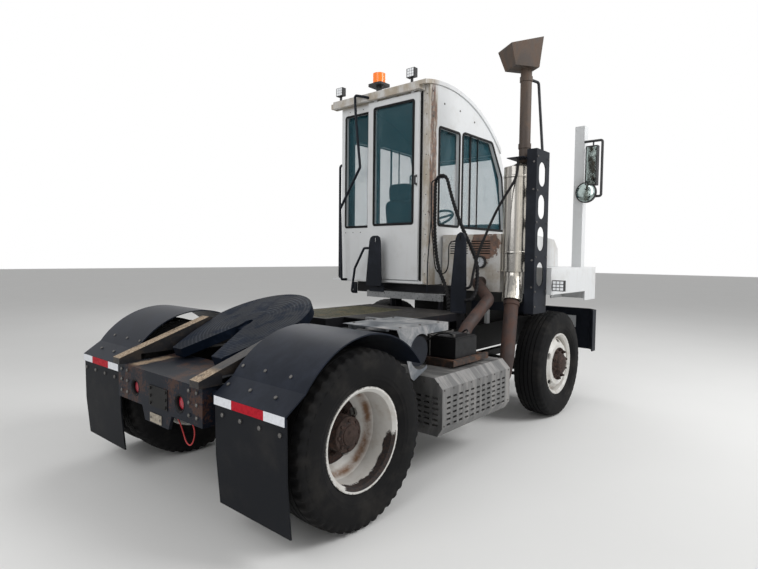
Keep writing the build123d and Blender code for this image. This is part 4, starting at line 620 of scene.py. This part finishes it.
# each cord: its diameter and the control points of its route; the two hoses, also the node that each stands for
# and how much of a spiral wrap it has
cordSettings = {
    "air_hose_loop": (0.03, [
        (0.3, -0.43, 1.06), (0.3, -0.43, 1.165), (0.335, -0.372, 1.29), (0.382, -0.248, 1.46),
        (0.424, -0.18, 1.69), (0.458, -0.145, 1.93), (0.474, -0.138, 2.12), (0.479, -0.134, 2.25),
        (0.481, -0.136, 2.339), (0.482, -0.177, 2.38), (0.482, -0.235, 2.38), (0.48, -0.276, 2.339),
        (0.476, -0.304, 2.24), (0.458, -0.385, 2.04), (0.43, -0.495, 1.83), (0.402, -0.615, 1.65),
        (0.384, -0.68, 1.52), (0.35, -0.706, 1.39), (0.31, -0.722, 1.285), (0.266, -0.722, 1.212),
        (0.23, -0.7, 1.18), (0.23, -0.655, 1.18)], "hose_loop", 1.0),
    "air_hose_line": (0.024, [
        (0.612, -0.955, 2.49), (0.612, -0.955, 2.405), (0.585, -0.946, 2.285), (0.51, -0.893, 2.15),
        (0.424, -0.835, 1.98), (0.352, -0.787, 1.79), (0.294, -0.742, 1.62), (0.262, -0.718, 1.46),
        (0.24, -0.712, 1.35), (0.228, -0.7, 1.29), (0.228, -0.655, 1.29)], "hose_line"),
    "cab_cable": (0.012, [
        (0.452, -0.1085, 2.02), (0.43, -0.12, 1.96), (0.405, -0.15, 1.86), (0.4, -0.172, 1.7),
        (0.404, -0.18, 1.56), (0.42, -0.19, 1.45), (0.44, -0.235, 1.4), (0.445, -0.3, 1.42),
        (0.44, -0.33, 1.5), (0.446, -0.325, 1.62), (0.47, -0.31, 1.7), (0.56, -0.3, 1.735),
        (0.68, -0.3, 1.745)]),
    "step_cable": (0.012, [
        (0.3, 0.5, 1.269), (0.34, 0.44, 1.236), (0.385, 0.33, 1.2145), (0.392, 0.18, 1.2145),
        (0.372, 0.04, 1.2145), (0.36, -0.08, 1.2145), (0.384, -0.2, 1.215), (0.42, -0.29, 1.216),
        (0.445, -0.35, 1.255), (0.43, -0.43, 1.33), (0.39, -0.5, 1.345), (0.33, -0.545, 1.31),
        (0.262, -0.57, 1.3), (0.246, -0.57, 1.3)]),
    "red_line": (0.008, [
        (-2.33, -0.205, 0.6), (-2.305, -0.205, 0.55), (-2.285, -0.207, 0.482), (-2.28, -0.23, 0.424),
        (-2.28, -0.278, 0.41), (-2.283, -0.322, 0.45), (-2.29, -0.35, 0.508), (-2.305, -0.366, 0.558),
        (-2.33, -0.37, 0.6)]),
    "battery_lead_front": (0.014, [
        (-0.29, -1.000, 0.969), (-0.27, -0.985, 0.985), (-0.225, -0.94, 0.985), (-0.205, -0.87, 0.93),
        (-0.2, -0.8, 0.86), (-0.205, -0.73, 0.8), (-0.215, -0.64, 0.735)]),
    "battery_lead_rear": (0.014, [
        (-0.498, -1.000, 0.969), (-0.52, -0.975, 0.99), (-0.56, -0.9, 0.985), (-0.58, -0.82, 0.93),
        (-0.58, -0.75, 0.86), (-0.575, -0.69, 0.79), (-0.57, -0.64, 0.735)]),
}


def evenPath(route, step):
    # points a step apart along the smooth line of a route, a NURBS curve of order 3 through its control points
    data = bpy.data.curves.new("route", "CURVE")
    data.dimensions = "3D"
    data.resolution_u = 12
    spline = data.splines.new("NURBS")
    spline.points.add(len(route) - 1)
    for point, spot in zip(spline.points, route):
        point.co = (*spot, 1)
    spline.order_u = 3
    spline.use_endpoint_u = True
    holder = bpy.data.objects.new("route", data)
    bpy.context.scene.collection.objects.link(holder)
    path = np.array([v.co for v in bpy.data.meshes.new_from_object(holder).vertices], float)
    bpy.data.objects.remove(holder)
    along = distances(path)
    even = np.linspace(0, along[-1], int(along[-1] / step))
    return np.stack([np.interp(even, along, path[:, i]) for i in range(3)], 1), float(along[-1])


def makeCord(name, diameter, route, replaced=None, turns=0.0):
    # a hose has finer rings than a cable; the path is the rings' own centres
    path, length = evenPath(route, 0.006 if replaced else 0.008)

    def wrap(distance, angle):
        # a spiral wrap stands up as a ridge that climbs 34 mm a turn, over a slow swell
        return turns * (0.0016 + 0.0028 * np.sin(distance / 0.034 * wholeTurn - angle)
                        + 0.0008 * np.sin(distance / 0.37 + 1.3))

    tube = tubeAlong(path, diameter / 2, 14 if replaced else 10, wave=wrap)
    rubber = redLine if name == "red_line" else hoseRubber
    piece = makePiece(name, [tube], rubber, 40 if replaced else 60)
    centres = path.tolist()
    if replaced:
        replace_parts(piece, replaced)
        centres = centres[::6] + centres[-1:]


for name, settings in cordSettings.items():
    makeCord(name, *settings)
print("camera and hoses made")

# Tyres: a carcass turned about the axle, with grooves and shoulder blocks cut by a wave round it

tyreSettings = {
    "radius": 0.52, "bead": 0.2875, "crown": 0.104, "ribs": (-0.062, -0.021, 0.021, 0.062), "grooveDepth": 0.013,
    "grooveHalf": 0.005, "grooveEdge": 0.001, "shoulderBlocks": 46, "blockDepth": 0.012, "count": 368,
    "side": ((0.116, 0.511), (0.126, 0.5), (0.132, 0.486), (0.1325, 0.47), (0.1345, 0.462), (0.139, 0.44),
             (0.14, 0.405), (0.1385, 0.375), (0.1365, 0.372), (0.134, 0.35), (0.131, 0.347), (0.124, 0.33),
             (0.112, 0.312), (0.102, 0.3045), (0.097, 0.2875)),
}


def tyreParts(x, y, z, blockShare):
    # radius as a function of width: a crown, radius - 0.5 w^2, with four grooves, then shoulder, sidewall and bead
    s = tyreSettings
    crown = [(-s["crown"], 0)]
    for rib in s["ribs"]:
        crown += [(rib - s["grooveHalf"], 0), (rib - s["grooveHalf"] + s["grooveEdge"], s["grooveDepth"]),
                  (rib + s["grooveHalf"] - s["grooveEdge"], s["grooveDepth"]), (rib + s["grooveHalf"], 0)]
    crown.append((s["crown"], 0))
    profile = [(-w, r) for w, r in s["side"][::-1]] + [(w, s["radius"] - deep - 0.5 * w * w) for w, deep in crown]
    profile += [*s["side"], (0.095, s["bead"] + 0.006), (-0.095, s["bead"] + 0.006)]

    def lugs(angle, rows):
        # shoulder blocks: a smooth square wave round the tyre, deep at the crown's edges only
        wave = np.clip(np.sin(angle[None] * s["shoulderBlocks"]) * 4, -1, 1)
        near = (np.abs(rows[:, :1]) > 0.098) & (rows[:, 1:] > s["radius"] - 0.052)
        return near * s["blockDepth"] * blockShare * (wave - 1) / 2

    return turnedPart(profile, (x, y, z), (0, 1, 0), s["count"], True, lugs)


wheelSettings = {
    "height": 0.52, "nuts": 10, "nutRadius": 0.0185, "nutHeight": 0.022, "studRadius": 0.0105,
    "front": {"x": 1.226, "tyres": (1.03,), "blocks": 0.35, "nutY": 1.1375, "circle": 0.143, "faceY": 1.16,
              "faceRadius": 0.098},
    "rear": {"x": -1.72, "tyres": (1.08, 0.745), "blocks": 1.0, "nutY": 0.9385, "circle": 0.132, "faceY": 1.05,
             "faceRadius": 0.106},
}


def makeTyre(end, side, word):
    s = wheelSettings[end]
    parts = [tyreParts(s["x"], side * y, wheelSettings["height"], s["blocks"]) for y in s["tyres"]]
    tyre = makePiece("tread_" + word, parts, tyreRubber, 28, "wheel_" + word)
    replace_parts(tyre, "tyre_" + word)


def makeHub(end, side, word):
    # nuts and studs on their circle, and the rusty hub face with its own bolts
    w, s = wheelSettings, wheelSettings[end]
    out, r = (0, side, 0), s["faceRadius"]

    def aroundAxle(radius, y, count, start=0.0):
        angle = circle(count) + start
        return np.column_stack([s["x"] + radius * np.cos(angle), np.full(count, side * y),
                                w["height"] + radius * np.sin(angle)])

    nuts = aroundAxle(s["circle"], s["nutY"], w["nuts"], 0.2)
    parts = boltParts(nuts, out, w["nutRadius"], w["nutHeight"])
    parts += boltParts(nuts, out, w["studRadius"], w["nutHeight"] + 0.014, 10)
    parts.append(turnedPart(((0, r - 0.006), (0.003, r), (0.013, r), (0.016, r - 0.004), (0.017, r * 0.62),
                             (0.034, r * 0.56), (0.037, r * 0.5), (0.037, 0.001)),
                            (s["x"], side * s["faceY"], w["height"]), out, 40))
    parts += boltParts(aroundAxle(r * 0.8, s["faceY"] + 0.0165, 8), out, 0.011, 0.01)
    makePiece("hub_face_" + word, parts, rustyBolt, 30, "wheel_" + word)


for end, side, word in (("front", 1, "_left"), ("front", -1, "_right"), ("rear", 1, "_left"), ("rear", -1, "_right")):
    makeTyre(end, side, end + word)
print("tyres made")
for side, word in ((1, "_left"), (-1, "_right")):
    for end in ("rear", "front"):
        makeHub(end, side, end + word)
print("hubs made")

# Tail: tape on the fenders' lips, bolts, lamps and the blank tag

tailSettings = {
    "lipX": -2.3224, "tape": ((0.608, 0.773, "white"), (0.773, 1.052, "red"), (1.052, 1.217, "white")),
    "tapeLow": 0.741, "tapeHigh": 0.7905, "flapBolts": (0.68, 0.845, 1.01, 1.175),
    "shelfBolts": (0.64, 0.845, 1.06), "lamp": (-2.32, 0.285, 0.687), "plateX": -2.3498,
}


def makeTail():
    s = tailSettings
    plateX = s["plateX"]
    tapes, bolts, lenses, rings = {"white": [], "red": []}, [], [], []
    for side in (-1, 1):
        for start, end, tone in s["tape"]:
            low, high = sorted((side * start, side * end))
            tapes[tone].append(boxPart((s["lipX"] - 0.0008, low, s["tapeLow"]),
                                       (s["lipX"] + 0.0006, high, s["tapeHigh"])))
        bolts += boltParts([(-2.313, side * y, 0.692) for y in s["flapBolts"]], backward, 0.013, 0.009)
        for x, z, out in ((-2.25, 0.8432, (-0.57, 0, 0.82)), (-2.15, 0.9325, (-0.72, 0, 0.69))):
            bolts += boltParts([(x, side * y, z) for y in s["shelfBolts"]], out, 0.011)
        # a crowned lens in its round rubber ring
        x, y, z = s["lamp"]
        lenses.append(turnedPart(((-0.008, 0.044), (0.004, 0.0445), (0.01, 0.041), (0.015, 0.031), (0.0175, 0.016),
                                  (0.018, 0.001)), (x, side * y, z), backward, 36))
        section = np.column_stack([0.016 + 0.016 * np.cos(circle(12)), 0.051 + 0.0085 * np.sin(circle(12))])
        rings.append(turnedPart(section, (x, side * y, z), backward, 36, True))
        bolts += boltParts([(plateX, side * y, z) for y in (0.395, 0.48) for z in (0.64, 0.715, 0.785)], backward,
                           0.012, 0.009)
    bolts += boltParts([(-2.354, y, 0.537) for y in (-0.052, 0.062)], backward, 0.007, 0.004)
    panel = [boxPart((-2.355, -0.145, 0.612), (plateX, 0.085, 0.742))]
    panel += boltParts([(-2.355, y, z) for y in (-0.125, 0.065) for z in (0.63, 0.677, 0.724)], backward, 0.01, 0.007)
    makePiece("tape_white", tapes["white"], whiteTape)
    makePiece("tape_red", tapes["red"], redTape)
    makePiece("tail_lenses", lenses, redLens, 40)
    makePiece("lamp_rings", rings, gasketRubber, 40)
    makePiece("tail_panel", panel, framePaint)
    makePiece("blank_tag", [boxPart((-2.354, -0.068, 0.508), (plateX, 0.078, 0.566))], tagPaint)
    makePiece("tail_bolts", bolts, boltSteel)


makeTail()
print("tail made")

# Cab trim: gaskets round the panes, the sliding panes' bars, dark strips at the door's edges that stand for painted
# shade in its gaps, and small fasteners

cabSettings = {
    "bead": 0.026, "beadDepth": 0.009, "lowBead": 0.0028, "noseBead": 0.014, "rearX": 0.44, "doorX": 0.396,
    "rearPane": ((0.728, 1.902), (1.078, 3.14)), "doorPane": ((0.086, 1.912), (0.612, 3.15)),
    "sidePane": ((0.612, 1.902), (1.000, 2.9)),
    "right": (-0.08, -1, ((1.062, 1.902), (2.062, 1.902), (1.962, 2.545), (1.706, 2.922), (1.062, 2.922))),
    "left": (1.14, 1, ((1.062, 1.902), (2.03, 1.902), (1.745, 2.91), (1.062, 2.93))),
    "nose": ((1.91, 2.884), (2.085, 2.48), (2.18, 1.92)),
}


def rectangle(low, high):
    return [low, (high[0], low[1]), high, (low[0], high[1])]


def gasket(corners, radius, normal, depth=cabSettings["beadDepth"]):
    return stripAlong(roundedPath(corners, radius), normal, cabSettings["bead"], depth)


def arcX(z):
    # x of the nose's outer arc at a height, on the circle through its three known points
    a, b, c = (np.array(p) for p in cabSettings["nose"])
    centre = np.linalg.solve([b - a, c - a], [(b @ b - a @ a) / 2, (c @ c - a @ a) / 2])
    return centre[0] + np.sqrt((a - centre) @ (a - centre) - (z - centre[1]) ** 2)


def makeCabTrim():
    s = cabSettings
    # the rear pane's bead is low, because the door slides past it
    beads = [gasket([(s["rearX"], y, z) for y, z in rectangle(*s["rearPane"])], 0.018, backward, s["lowBead"])]
    for y, side, front in (s["right"], s["left"]):
        for corners, radius in ((rectangle(*s["sidePane"]), 0.026), (front, 0.048)):
            beads.append(gasket([(x, y, z) for x, z in corners], radius, (0, side, 0)))
        low, high = sorted((y - side * 0.03, y - side * 0.042))
        for x, wide in ((1.27, 0.03), (1.436, 0.016)):
            beads.append(boxPart((x, low, 1.895), (x + wide, high, 2.925), 0.003))
    # the windscreen's bead follows the nose's arc up both sides and crosses at its foot and head
    z = np.linspace(1.99, 2.79, 12)
    edge = np.column_stack([arcX(z) + 0.002, z])
    rows = [(x, 0.035, z) for x, z in edge] + [(edge[-1, 0] + 0.001, y, z[-1]) for y in np.linspace(0.1, 0.96, 8)]
    rows += [(x, 1.025, z) for x, z in edge[::-1]]
    rows += [(edge[0, 0] + 0.001, y, z[0]) for y in np.linspace(0.96, 0.1, 8)]
    beads.append(tubeAlong(np.array(rows), s["noseBead"], 8, True))
    # dark post right of the sliding door, in the gap between door and wall, standing for the shade in that gap
    beads.append(boxPart((0.424, 0.000, 1.325), (0.4398, 0.012, 3.232), 0.003))
    makePiece("window_beads_and_gap_shade", beads, gasketRubber, 40, "cab")
    door = [gasket([(s["doorX"], y, z) for y, z in rectangle(*s["doorPane"])], 0.016, backward)]
    # dark strips on both upright edges of the door, standing for the shade in the gaps beside it
    door += [boxPart((0.422, y, 1.338), (0.432, y + 0.005, 3.218)) for y in (0.6995, 0.0155)]
    makePiece("door_bead_and_gap_shade", door, gasketRubber, 40, "door")
    grip = [boxPart((0.36, 0.03, 2.3), (0.372, 0.058, 2.39), 0.004)]
    grip += [boxPart((0.372, 0.034, z), (0.3962, 0.054, z + 0.024), 0.003) for z in (2.292, 2.374)]
    makePiece("door_grip", grip, darkPlastic, 35, "door")
    screws = boltParts([(x, -0.08, z) for x, z in ((0.5, 2.985), (0.5, 3.235), (0.7, 3.15), (1.000, 3.14),
                                                    (1.3, 3.08))], rightward, 0.01, 0.005, 10)
    places = [(0.44, 0.716 + k * 0.1, 3.19) for k in range(4)] + [(0.44, 0.73 + k * 0.115, 1.84) for k in range(4)]
    places += [(0.44, -0.045, z) for z in np.linspace(1.4, 3.2, 10)]
    makePiece("cab_screws", screws + boltParts(places, backward, 0.006, 0.003, 8), boltSteel, 30, "cab")


makeCabTrim()
print("cab trim made")

# Seat: crowned cushion, back and head pad with sewn channels, on a plain pedestal

seatSettings = {"x": 1.18, "y": 0.66, "power": 0.38, "channel": 0.006, "channelPitch": 0.11, "rows": 26,
                "columns": 44, "fill": 0.8}


def padPart(low, high, lean=0.0):
    # a superellipsoid: each axis is a signed power of sines and cosines, so its sides bulge and its edges are
    # round; shallow channels run across it, and its top is pushed back by the lean
    s = seatSettings
    low, high = np.array(low), np.array(high)
    half = (high - low) / 2
    v = np.linspace(-np.pi / 2, np.pi / 2, s["rows"])[1:-1, None]
    u = circle(s["columns"])[None] - np.pi
    x, y, z = (np.sign(one) * np.abs(one) ** s["power"] for one in (np.cos(u), np.sin(u), np.sin(v)))
    girth = np.cos(v) ** s["power"]
    points = np.stack([girth * x, girth * y, z * np.ones_like(u)], -1) * half
    groove = np.exp(-((np.mod(points[..., 1] + 0.03, s["channelPitch"]) - s["channelPitch"] / 2) / 0.006) ** 2)
    points -= (s["channel"] * groove[..., None] * np.sign(points) * np.array((1.0, 0.0, 1.0))
               * (np.abs(points / half) > 0.75))
    points[..., 0] -= lean * (points[..., 2] / half[2] + 1) / 2
    return solidPart(points + (low + high) / 2, s["columns"])


def makeSeat():
    s = seatSettings
    x, y = s["x"], s["y"]
    pads = {
        "seat_cushion": [padPart((x - 0.245, y - 0.245, 1.712), (x + 0.255, y + 0.245, 1.835))],
        "seat_back": [padPart((x - 0.235, y - 0.23, 1.82), (x - 0.115, y + 0.23, 2.235), 0.062),
                      padPart((x - 0.3, y - 0.15, 2.215), (x - 0.205, y + 0.15, 2.415), 0.01)],
    }
    for name, parts in pads.items():
        makePiece(name, parts, seatFabric, 60, "cab")
    base = [boxPart((x - 0.15, y - 0.15, 1.3505), (x + 0.15, y + 0.15, 1.64), 0.02),
            boxPart((x - 0.2, y - 0.2, 1.64), (x + 0.2, y + 0.2, 1.716), 0.03)]
    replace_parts(makePiece("seat_pedestal", base, darkPlastic, 40, "cab"), "seat")


makeSeat()
print("seat made")

# Roof lamps, side mirrors and the lamp and gauge on the right

lampSettings = {"roofY": (0.13, 1.14), "roofZ": 3.43, "cell": 0.012, "pitch": 0.0275, "slats": 7,
                "gauge": (0.68, -0.552, 1.527), "marks": 9, "markRadius": 0.038}


def makeLamps():
    s = lampSettings
    housing, cells, sideCells, marks = [], [], [], []
    for y in s["roofY"]:
        middle, h = s["roofZ"], s["cell"]
        housing.append(boxPart((0.3865, y - 0.05, middle - 0.045), (0.3905, y + 0.05, middle + 0.045)))
        for z in middle - 0.038 + np.arange(s["slats"]) * 0.0125:
            housing.append(boxPart((0.4395, y - 0.042, z), (0.452, y + 0.042, z + 0.004)))
        for z in (middle - s["pitch"], middle, middle + s["pitch"]):
            cells += [boxPart((0.3835, c - h, z - h), (0.3868, c + h, z + h), 0.003)
                      for c in (y - s["pitch"], y, y + s["pitch"])]
    # lamp on a bracket at the platform's rear outer corner
    sideHousing = [boxPart((0.945, -1.288, 1.26), (0.985, -1.164, 1.362), 0.01),
                   boxPart((0.985, -1.21, 1.295), (1.03, -1.149, 1.325), 0.004)]
    for y in (-1.276, -1.2405, -1.205):
        sideCells += [boxPart((0.941, y, z), (0.9452, y + 0.029, z + 0.024), 0.003) for z in (1.268, 1.299, 1.33)]
    # round gauge on the hood's rear face
    x, y, z = s["gauge"]
    sideHousing.append(turnedPart(((0, 0.062), (0.026, 0.062), (0.03, 0.059), (0.03, 0.047), (0.022, 0.046),
                                   (0.022, 0.001)), s["gauge"], backward, 36))
    dial = turnedPart(((0.0215, 0.0465), (0.0235, 0.046), (0.024, 0.001)), s["gauge"], backward, 36)
    for turn in np.radians(-130 + np.arange(s["marks"]) * 32.5):
        across, up = y + s["markRadius"] * np.sin(turn), z + s["markRadius"] * np.cos(turn)
        marks.append(boxPart((0.6552, across - 0.002, up - 0.004), (0.6564, across + 0.002, up + 0.004)))
    marks.append(boxPart((0.6546, -0.5535, 1.522), (0.6556, -0.5505, 1.56)))
    makePiece("lamp_housings", housing, darkPlastic, 35, "cab")
    makePiece("platform_lamp", sideHousing, darkPlastic, 35)
    makePiece("work_light_cells", cells, whiteLens, 30, "cab")
    makePiece("platform_light_cells", sideCells, whiteLens)
    makePiece("gauge_dial", [dial], whiteTape, 40)
    makePiece("gauge_marks", marks, darkPlastic)


makeLamps()

mirrorSettings = {
    "right": {"side": -1, "body": "chassis", "x": 1.712, "high": 2.745, "round": (1.716, -1.185, 2.265), "r": 0.106},
    "left": {"side": 1, "body": "cab", "x": 1.924, "high": 2.645, "round": (1.928, 1.242, 2.265), "r": 0.09},
}


def makeMirrors():
    for word, s in mirrorSettings.items():
        x, r, z0, z1 = s["x"], s["r"], 2.335, s["high"]
        y0, y1 = sorted((s["side"] * 1.181, s["side"] * 1.289))
        corners = [(x, y, z) for y, z in rectangle((y0, z0 + 0.006), (y1, z1 - 0.006))]
        rims = [stripAlong(roundedPath(corners, 0.014), backward, 0.012, 0.006),
                turnedPart(((-0.004, r * 0.92), (-0.004, r * 1.015), (0.004, r * 1.015), (0.0065, r * 0.985),
                            (0.004, r * 0.92)), s["round"], backward, 40, True)]
        # the round mirror is a shallow dome inside its rim
        glass = [boxPart((x - 0.003, y0, z0 + 0.008), (x + 0.0005, y1, z1 - 0.008)),
                 turnedPart(((0, r * 0.93), (0.004, r * 0.9), (0.0085, r * 0.7), (0.0115, r * 0.42),
                             (0.0125, 0.001)), s["round"], backward, 40)]
        makePiece("mirror_glass_" + word, glass, mirrorFace, 40, s["body"])
        makePiece("mirror_rim_" + word, rims, mirrorShell, 40, s["body"])


makeMirrors()
print("lamps and mirrors made")

# Right side: muffler bands, guard bolts, battery fittings and casing rivets

sideSettings = {"muffler": (0.73, -0.88), "mufflerRadius": 0.112, "bands": (1.62, 2.33),
                "battery": ((-0.548, -1.05), (-0.24, -0.79)), "batteryTop": 0.959, "caps": 6}


def makeSideFittings():
    s = sideSettings
    r = s["mufflerRadius"]
    section = ((-0.014, r - 0.001), (-0.014, r + 0.002), (-0.01, r + 0.004), (0.01, r + 0.004), (0.014, r + 0.002),
               (0.014, r - 0.001))
    bands = [turnedPart(section, (*s["muffler"], z), upward, 48, True) for z in s["bands"]]
    makePiece("muffler_bands", bands, chromePipe, 40)
    bolts = boltParts([(x, -1.105, z) for x in (0.7, 0.936) for z in (1.12, 1.26, 1.58, 1.9, 2.19, 2.5)],
                      rightward, 0.01)
    bolts += boltParts([(0.68, -1.08, z) for z in (1.3, 1.55, 2.2, 2.45)], backward, 0.01)
    # rivets along the casing's folded edges
    bolts += boltParts([(x, -1.2, z) for x in np.linspace(-0.915, 0.025, 9) for z in (0.405, 0.655)], rightward,
                       0.007, 0.0035, 8)
    bolts += boltParts([(-0.94, y, z) for y in np.linspace(-1.165, -0.7, 5) for z in (0.375, 0.7)], backward,
                       0.007, 0.0035, 8)
    bolts += boltParts([(x, y, 1.1) for x in (-1.22, -1.00, -0.78) for y in (-1.045, -0.63)], upward, 0.01, 0.006)
    makePiece("side_bolts", bolts, boltSteel)
    (x0, y0), (x1, y1) = s["battery"]
    top = s["batteryTop"]
    caps = [turnedPart(((0, 0.017), (0.006, 0.017), (0.008, 0.014), (0.008, 0.001)),
                       (x0 + 0.045 + k * 0.0435, y0 + 0.15, top), upward, 20) for k in range(s["caps"])]
    caps.append(boxPart((x0 + 0.02, y0 + 0.105, top - 0.0005), (x1 - 0.02, y0 + 0.195, top + 0.003), 0.01))
    makePiece("battery_caps", caps, darkPlastic, 35)
    strap = [boxPart((x0 - 0.012, y0 + 0.218, top + 0.0005), (x1 + 0.012, y0 + 0.243, top + 0.005), 0.004)]
    for x, terminal in ((x0 - 0.008, x0 + 0.05), (x1 + 0.008, x1 - 0.05)):
        strap.append(turnedPart(((0, 0.005), (0.166, 0.005), (0.168, 0.004)), (x, y0 + 0.2305, 0.8), upward, 10))
        strap += boltParts([(x, y0 + 0.2305, top + 0.005)], upward, 0.01)
        strap.append(turnedPart(((0, 0.013), (0.014, 0.013), (0.016, 0.011), (0.016, 0.001)),
                                (terminal, y0 + 0.05, top + 0.002), upward, 16))
    makePiece("battery_strap", strap, boltSteel)


makeSideFittings()
print("side fittings made")

# Stage: pale floor, white world and soft lamps, each with its power, place and size

lightSettings = {"world": 0.42, "key": (430, (2.5, -7.0, 6.5), 4.0), "fill": (200, (-7.5, -1.0, 4.5), 5.0),
                 "back": (200, (6.0, 6.0, 7.0), 6.0)}
floorSettings = {"half": 60, "colors": ((0.8, 0.8, 0.79), (0.84, 0.84, 0.83))}


def makeStage():
    scene = bpy.context.scene
    scene.view_settings.view_transform = "Standard"
    world = scene.world = bpy.data.worlds.new("studio")
    world.use_nodes = True
    rays = world.node_tree.nodes.new("ShaderNodeLightPath").outputs
    seen = Value(rays["Is Camera Ray"]) | Value(rays["Is Glossy Ray"]) | Value(rays["Is Transmission Ray"])
    background = world.node_tree.nodes["Background"].inputs
    feed(background["Color"], (1, 1, 1))
    feed(background["Strength"], seen.ramp(0, 1, lightSettings["world"], 1.0))
    material, spot = newPaint("floor")
    finishPaint(material, base=spot.noise(0.8, 3).blend(*floorSettings["colors"]), rough=0.9)
    half = floorSettings["half"]
    mesh = bpy.data.meshes.new("floor")
    mesh.from_pydata([(-half, -half, 0), (half, -half, 0), (half, half, 0), (-half, half, 0)], [], [(0, 1, 2, 3)])
    mesh.materials.append(material)
    floor = bpy.data.objects.new("floor", mesh)
    scene.collection.objects.link(floor)
    for name in ("key", "fill", "back"):
        data = bpy.data.lights.new(name, "AREA")
        data.energy, place, data.size = lightSettings[name]
        lamp = bpy.data.objects.new(name, data)
        lamp.location = place
        lamp.rotation_euler = (Vector((0, 0, 1.2)) - Vector(place)).to_track_quat("-Z", "Y").to_euler()
        scene.collection.objects.link(lamp)


makeStage()
print("stage made")
